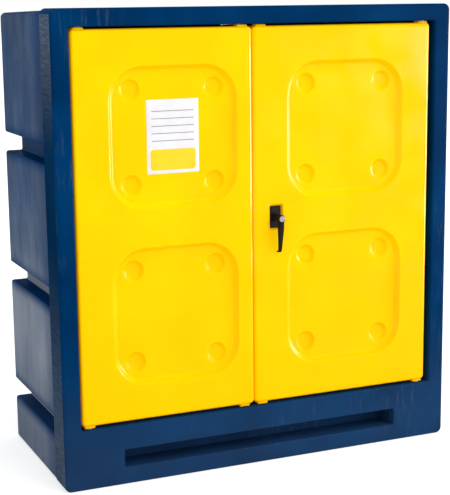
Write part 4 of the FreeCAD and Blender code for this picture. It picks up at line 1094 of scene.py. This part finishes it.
def on_label(inset, low, high, radius):
    """A flat shape on the label's face, in from its sides, between heights above its foot."""
    x_range = (label_low.x + inset, label_high.x - inset)
    z_range = (label_low.z + low, label_low.z + high)
    return outline(label_mesh, upright_rectangle(x_range, z_range, label_low.y, radius))


label_mesh = bmesh.new()
label_outline = upright_rectangle(
    (label_low.x, label_high.x), (label_low.z, label_high.z), label_high.y, LABEL_CORNER
)
label_front, _ = slab(label_mesh, label_outline, label_high.y - label_low.y, LABEL_EDGE, 0.0, steps=2)
band = on_label(BAND_INSET, BAND_INSET, BAND_TOP, BAND_CORNER)
rule_feet = [FIRST_RULE + RULE_GAP * i for i in range(RULE_COUNT)]
rules = [on_label(RULE_INSET, foot, foot + RULE_WIDTH, 0.0) for foot in rule_feet]
open_in(label_mesh, label_front, [band] + rules)
print("lines on the label:", len(rules))

# %% Give the label its inks
yellow_ink = coated("yellow_ink", colour(250, 214, 0), colour(252, 218, 4), 0.42, 300.0, 0.01, 0.1)
grey_ink = coated("grey_ink", colour(116, 116, 120), colour(126, 126, 130), 0.5, 300.0, 0.01, 0.1)
band.material_index = 1
for rule in rules:
    rule.material_index = 2
contents_label = finished(label_mesh, "contents_label_sheet", "left_door", ["contents_label"])
contents_label.data.materials.append(yellow_ink)
contents_label.data.materials.append(grey_ink)

# %% [markdown]
# ## Shelves and grid
# Two moulded trays rest on the ledges that the grooves make inside, and catch drips. Each has a
# rim, a sunk floor and three ribs below, and every edge is rounded. The grid over the sump is a
# thick plate with rows of slots. A slot is cut through by opening both faces of the plate,
# rounding both mouths and bridging the two loops.

# %% Make the shelves
(shelf_left, shelf_front, _), (shelf_right, shelf_rear, _) = packed_box("upper_shelf")
SHELF_X, SHELF_Y = (shelf_left, shelf_right), (shelf_front, shelf_rear)
SHELF_THICK, SHELF_CORNER, SHELF_TOP_EDGE, SHELF_FOOT_EDGE = 26.0, 12.0, 2.0, 3.0
TRAY_RIM = [(2.5, 0.0), (3.4, -0.3), (4.2, -1.2), (5.6, -12.0), (6.3, -15.4), (7.6, -17.4), (9.4, -18.0)]
RIB_HALF_LENGTH, RIB_HALF_WIDTH, RIB_CORNER = 530.0, 7.0, 3.0
RIB_DEPTH, RIB_EDGE, RIB_PLACES = 15.5, 2.5, (1 / 6, 3 / 6, 5 / 6)


def make_shelf(name):
    """A tray with a rim and three ribs; the part and the body that it rides on share a name."""
    bm = bmesh.new()
    base = packed_box(name)[1][2] - SHELF_THICK
    corners = lying_rectangle(SHELF_X, SHELF_Y, base + SHELF_FOOT_EDGE, SHELF_CORNER)
    top, under = slab(bm, corners, SHELF_THICK, SHELF_TOP_EDGE, SHELF_FOOT_EDGE, steps=4)
    walk(bm, top, TRAY_RIM)
    ribs = []
    for rib_place in RIB_PLACES:
        y = shelf_front + (shelf_rear - shelf_front) * rib_place
        y_range = (y - RIB_HALF_WIDTH, y + RIB_HALF_WIDTH)
        corners = lying_rectangle((-RIB_HALF_LENGTH, RIB_HALF_LENGTH), y_range, base, RIB_CORNER)
        ribs.append(outline(bm, corners[::-1], steps=3))
    open_in(bm, under, ribs)
    for rib in ribs:
        walk(bm, pull(bm, rib, (0, 0, -RIB_DEPTH)), turned_edge(RIB_EDGE, 3))
    shelf = finished(bm, name + "_tray", name, [name])
    even_shading(shelf)


for name in ("upper_shelf", "lower_shelf"):
    make_shelf(name)

# %% Make the grid over the sump
GRID_BORDER, GRID_BAR, GRID_COUNTS = 22.0, 9.0, (15, 6)
GRID_CORNER, GRID_EDGE, GRID_SLOT_CORNER = 10.0, 2.0, 5.0
GRID_SLOT_EDGE = [(0.4, -0.2), (1.2, -1.4)]
grid_low, grid_high = (corner[2] for corner in packed_box("sump_grid"))


def slot_ranges(low, high, count):
    """The ranges of a row of slots between the borders."""
    pitch = (high - low - 2 * GRID_BORDER + GRID_BAR) / count
    starts = [low + GRID_BORDER + i * pitch for i in range(count)]
    ends = [low + GRID_BORDER + (i + 1) * pitch - GRID_BAR for i in range(count)]
    return list(zip(starts, ends))


grid_mesh = bmesh.new()
grid_outline = lying_rectangle(SHELF_X, SHELF_Y, grid_low + GRID_EDGE, GRID_CORNER)
grid_faces = slab(grid_mesh, grid_outline, grid_high - grid_low, GRID_EDGE, GRID_EDGE, steps=3)
columns, rows = slot_ranges(*SHELF_X, GRID_COUNTS[0]), slot_ranges(*SHELF_Y, GRID_COUNTS[1])
slots = []
for face, level, way in zip(grid_faces, (grid_high, grid_low), (1, -1)):
    corners = [lying_rectangle(xs, ys, level, GRID_SLOT_CORNER)[::way] for xs in columns for ys in rows]
    slots.append([outline(grid_mesh, four, steps=3) for four in corners])
    open_in(grid_mesh, face, slots[-1])
for hole in slots[0] + slots[1]:
    walk(grid_mesh, hole, GRID_SLOT_EDGE)
loops = [list(upper.edges) + list(lower.edges) for upper, lower in zip(*slots)]
bmesh.ops.delete(grid_mesh, geom=slots[0] + slots[1], context="FACES_ONLY")
for loop in loops:
    bmesh.ops.bridge_loops(grid_mesh, edges=loop)
sump_grid = finished(grid_mesh, "sump_grid_plate", "sump_grid", ["sump_grid"])
even_shading(sump_grid)

# %% [markdown]
# ## The floor and the light
# The photograph has a white studio floor with only a thin shadow under the cabinet. The floor is
# a large white plane. To the camera, and in reflections, it gives off part of its own light, so
# that it stays white where no shadow falls. The light is a soft studio: a pale world, brighter
# to the left and right than in front, and two broad suns, the main one from the upper right.
# Together they light a surface that faces the front at about the strength of 1, at which a
# colour looks as it is written. Three softboxes only show in reflections: they draw the pale
# lines on the rounded edges and the sheen at the upper right. They stand lower than the roof,
# which would mirror them when seen from behind.

# %% Make the floor
FLOOR_HALF, FLOOR_GREY, FLOOR_GLOW = 60.0, 0.82, 0.54
WHITE = (1.0, 1.0, 1.0, 1.0)


def seen_directly(tree):
    """1 for rays from the camera, reflected rays and rays through glass, and 0 for other light."""
    paths = add_node(tree, "ShaderNodeLightPath").outputs
    seen = paths["Is Camera Ray"]
    for other in ("Is Glossy Ray", "Is Transmission Ray"):
        seen = calculated(tree, "MAXIMUM", seen, paths[other])
    return seen


floor_mesh = bmesh.new()
bmesh.ops.create_grid(floor_mesh, x_segments=1, y_segments=1, size=FLOOR_HALF)
floor_data = bpy.data.meshes.new("floor")
floor_mesh.to_mesh(floor_data)
floor_mesh.free()
floor = bpy.data.objects.new("floor", floor_data)
bpy.context.collection.objects.link(floor)

floor_material, floor_tree, floor_shader = new_material("studio_floor")
floor_shader.inputs["Base Color"].default_value = (FLOOR_GREY, FLOOR_GREY, FLOOR_GREY, 1.0)
floor_shader.inputs["Roughness"].default_value = 0.9
floor_shader.inputs["Specular IOR Level"].default_value = 0.1
floor_shader.inputs["Emission Color"].default_value = WHITE
glow = times(floor_tree, seen_directly(floor_tree), FLOOR_GLOW)
floor_tree.links.new(glow, floor_shader.inputs["Emission Strength"])
floor_data.materials.append(floor_material)
print("floor glow:", FLOOR_GLOW, "and width:", round(floor.dimensions.x), "m")

# %% Make the pale world
world = bpy.data.worlds.new("studio")
bpy.context.scene.world = world
world.use_nodes = True
world_tree = world.node_tree
sky = world_tree.nodes["Background"]
direction = add_node(world_tree, "ShaderNodeTexCoord").outputs["Generated"]
parts = add_node(world_tree, "ShaderNodeSeparateXYZ", [("Vector", direction)]).outputs
sides = spread(world_tree, calculated(world_tree, "ABSOLUTE", parts["X"]), 0.35, 0.95, 0.36, 0.88)
behind = spread(world_tree, parts["Y"], 0.0, 0.6, 0.0, 0.30)
level = calculated(world_tree, "ADD", sides, behind)
inputs = [("Factor", seen_directly(world_tree)), ("A", level), ("B", 1.0)]
strength = add_node(world_tree, "ShaderNodeMix", inputs, data_type="FLOAT").outputs["Result"]
world_tree.links.new(strength, sky.inputs["Strength"])
sky.inputs["Color"].default_value = WHITE
print("world nodes:", len(world_tree.nodes))

# %% Add the suns and the softboxes
SUNS = [
    # name, direction that it comes from, strength, softness in degrees
    ("key_light", (0.50, -0.62, 0.60), 1.75, 72.0),
    ("fill_light", (-0.75, -0.55, 0.35), 0.42, 60.0),
]
SOFTBOXES = [
    # name, place in metres, width and height in metres, radiance
    ("right_softbox", (3.2, -1.7, 0.62), (0.7, 1.2), 420.0),
    ("front_softbox", (2.75, -2.9, 1.02), (0.8, 0.5), 110.0),
    ("left_softbox", (-3.0, -1.5, 0.15), (0.5, 1.2), 40.0),
]
SOFTBOX_TARGET = (0, -0.25, 0.65)


def add_light(name, kind, place, towards, energy):
    """A light at a place, in metres, that shines towards another place."""
    data = bpy.data.lights.new(name, kind)
    data.energy = energy
    light = bpy.data.objects.new(name, data)
    bpy.context.collection.objects.link(light)
    light.location = place
    light.rotation_euler = (Vector(place) - Vector(towards)).to_track_quat("Z", "Y").to_euler()
    return light


for name, place, strength, softness in SUNS:
    add_light(name, "SUN", place, (0, 0, 0), strength).data.angle = math.radians(softness)
for name, place, (width, height), radiance in SOFTBOXES:
    light = add_light(name, "AREA", place, SOFTBOX_TARGET, radiance * width * height * math.pi)
    light.data.shape = "RECTANGLE"
    light.data.size = width
    light.data.size_y = height
    light.visible_diffuse = False
    light.visible_camera = False
print("lights:", len(bpy.data.lights))
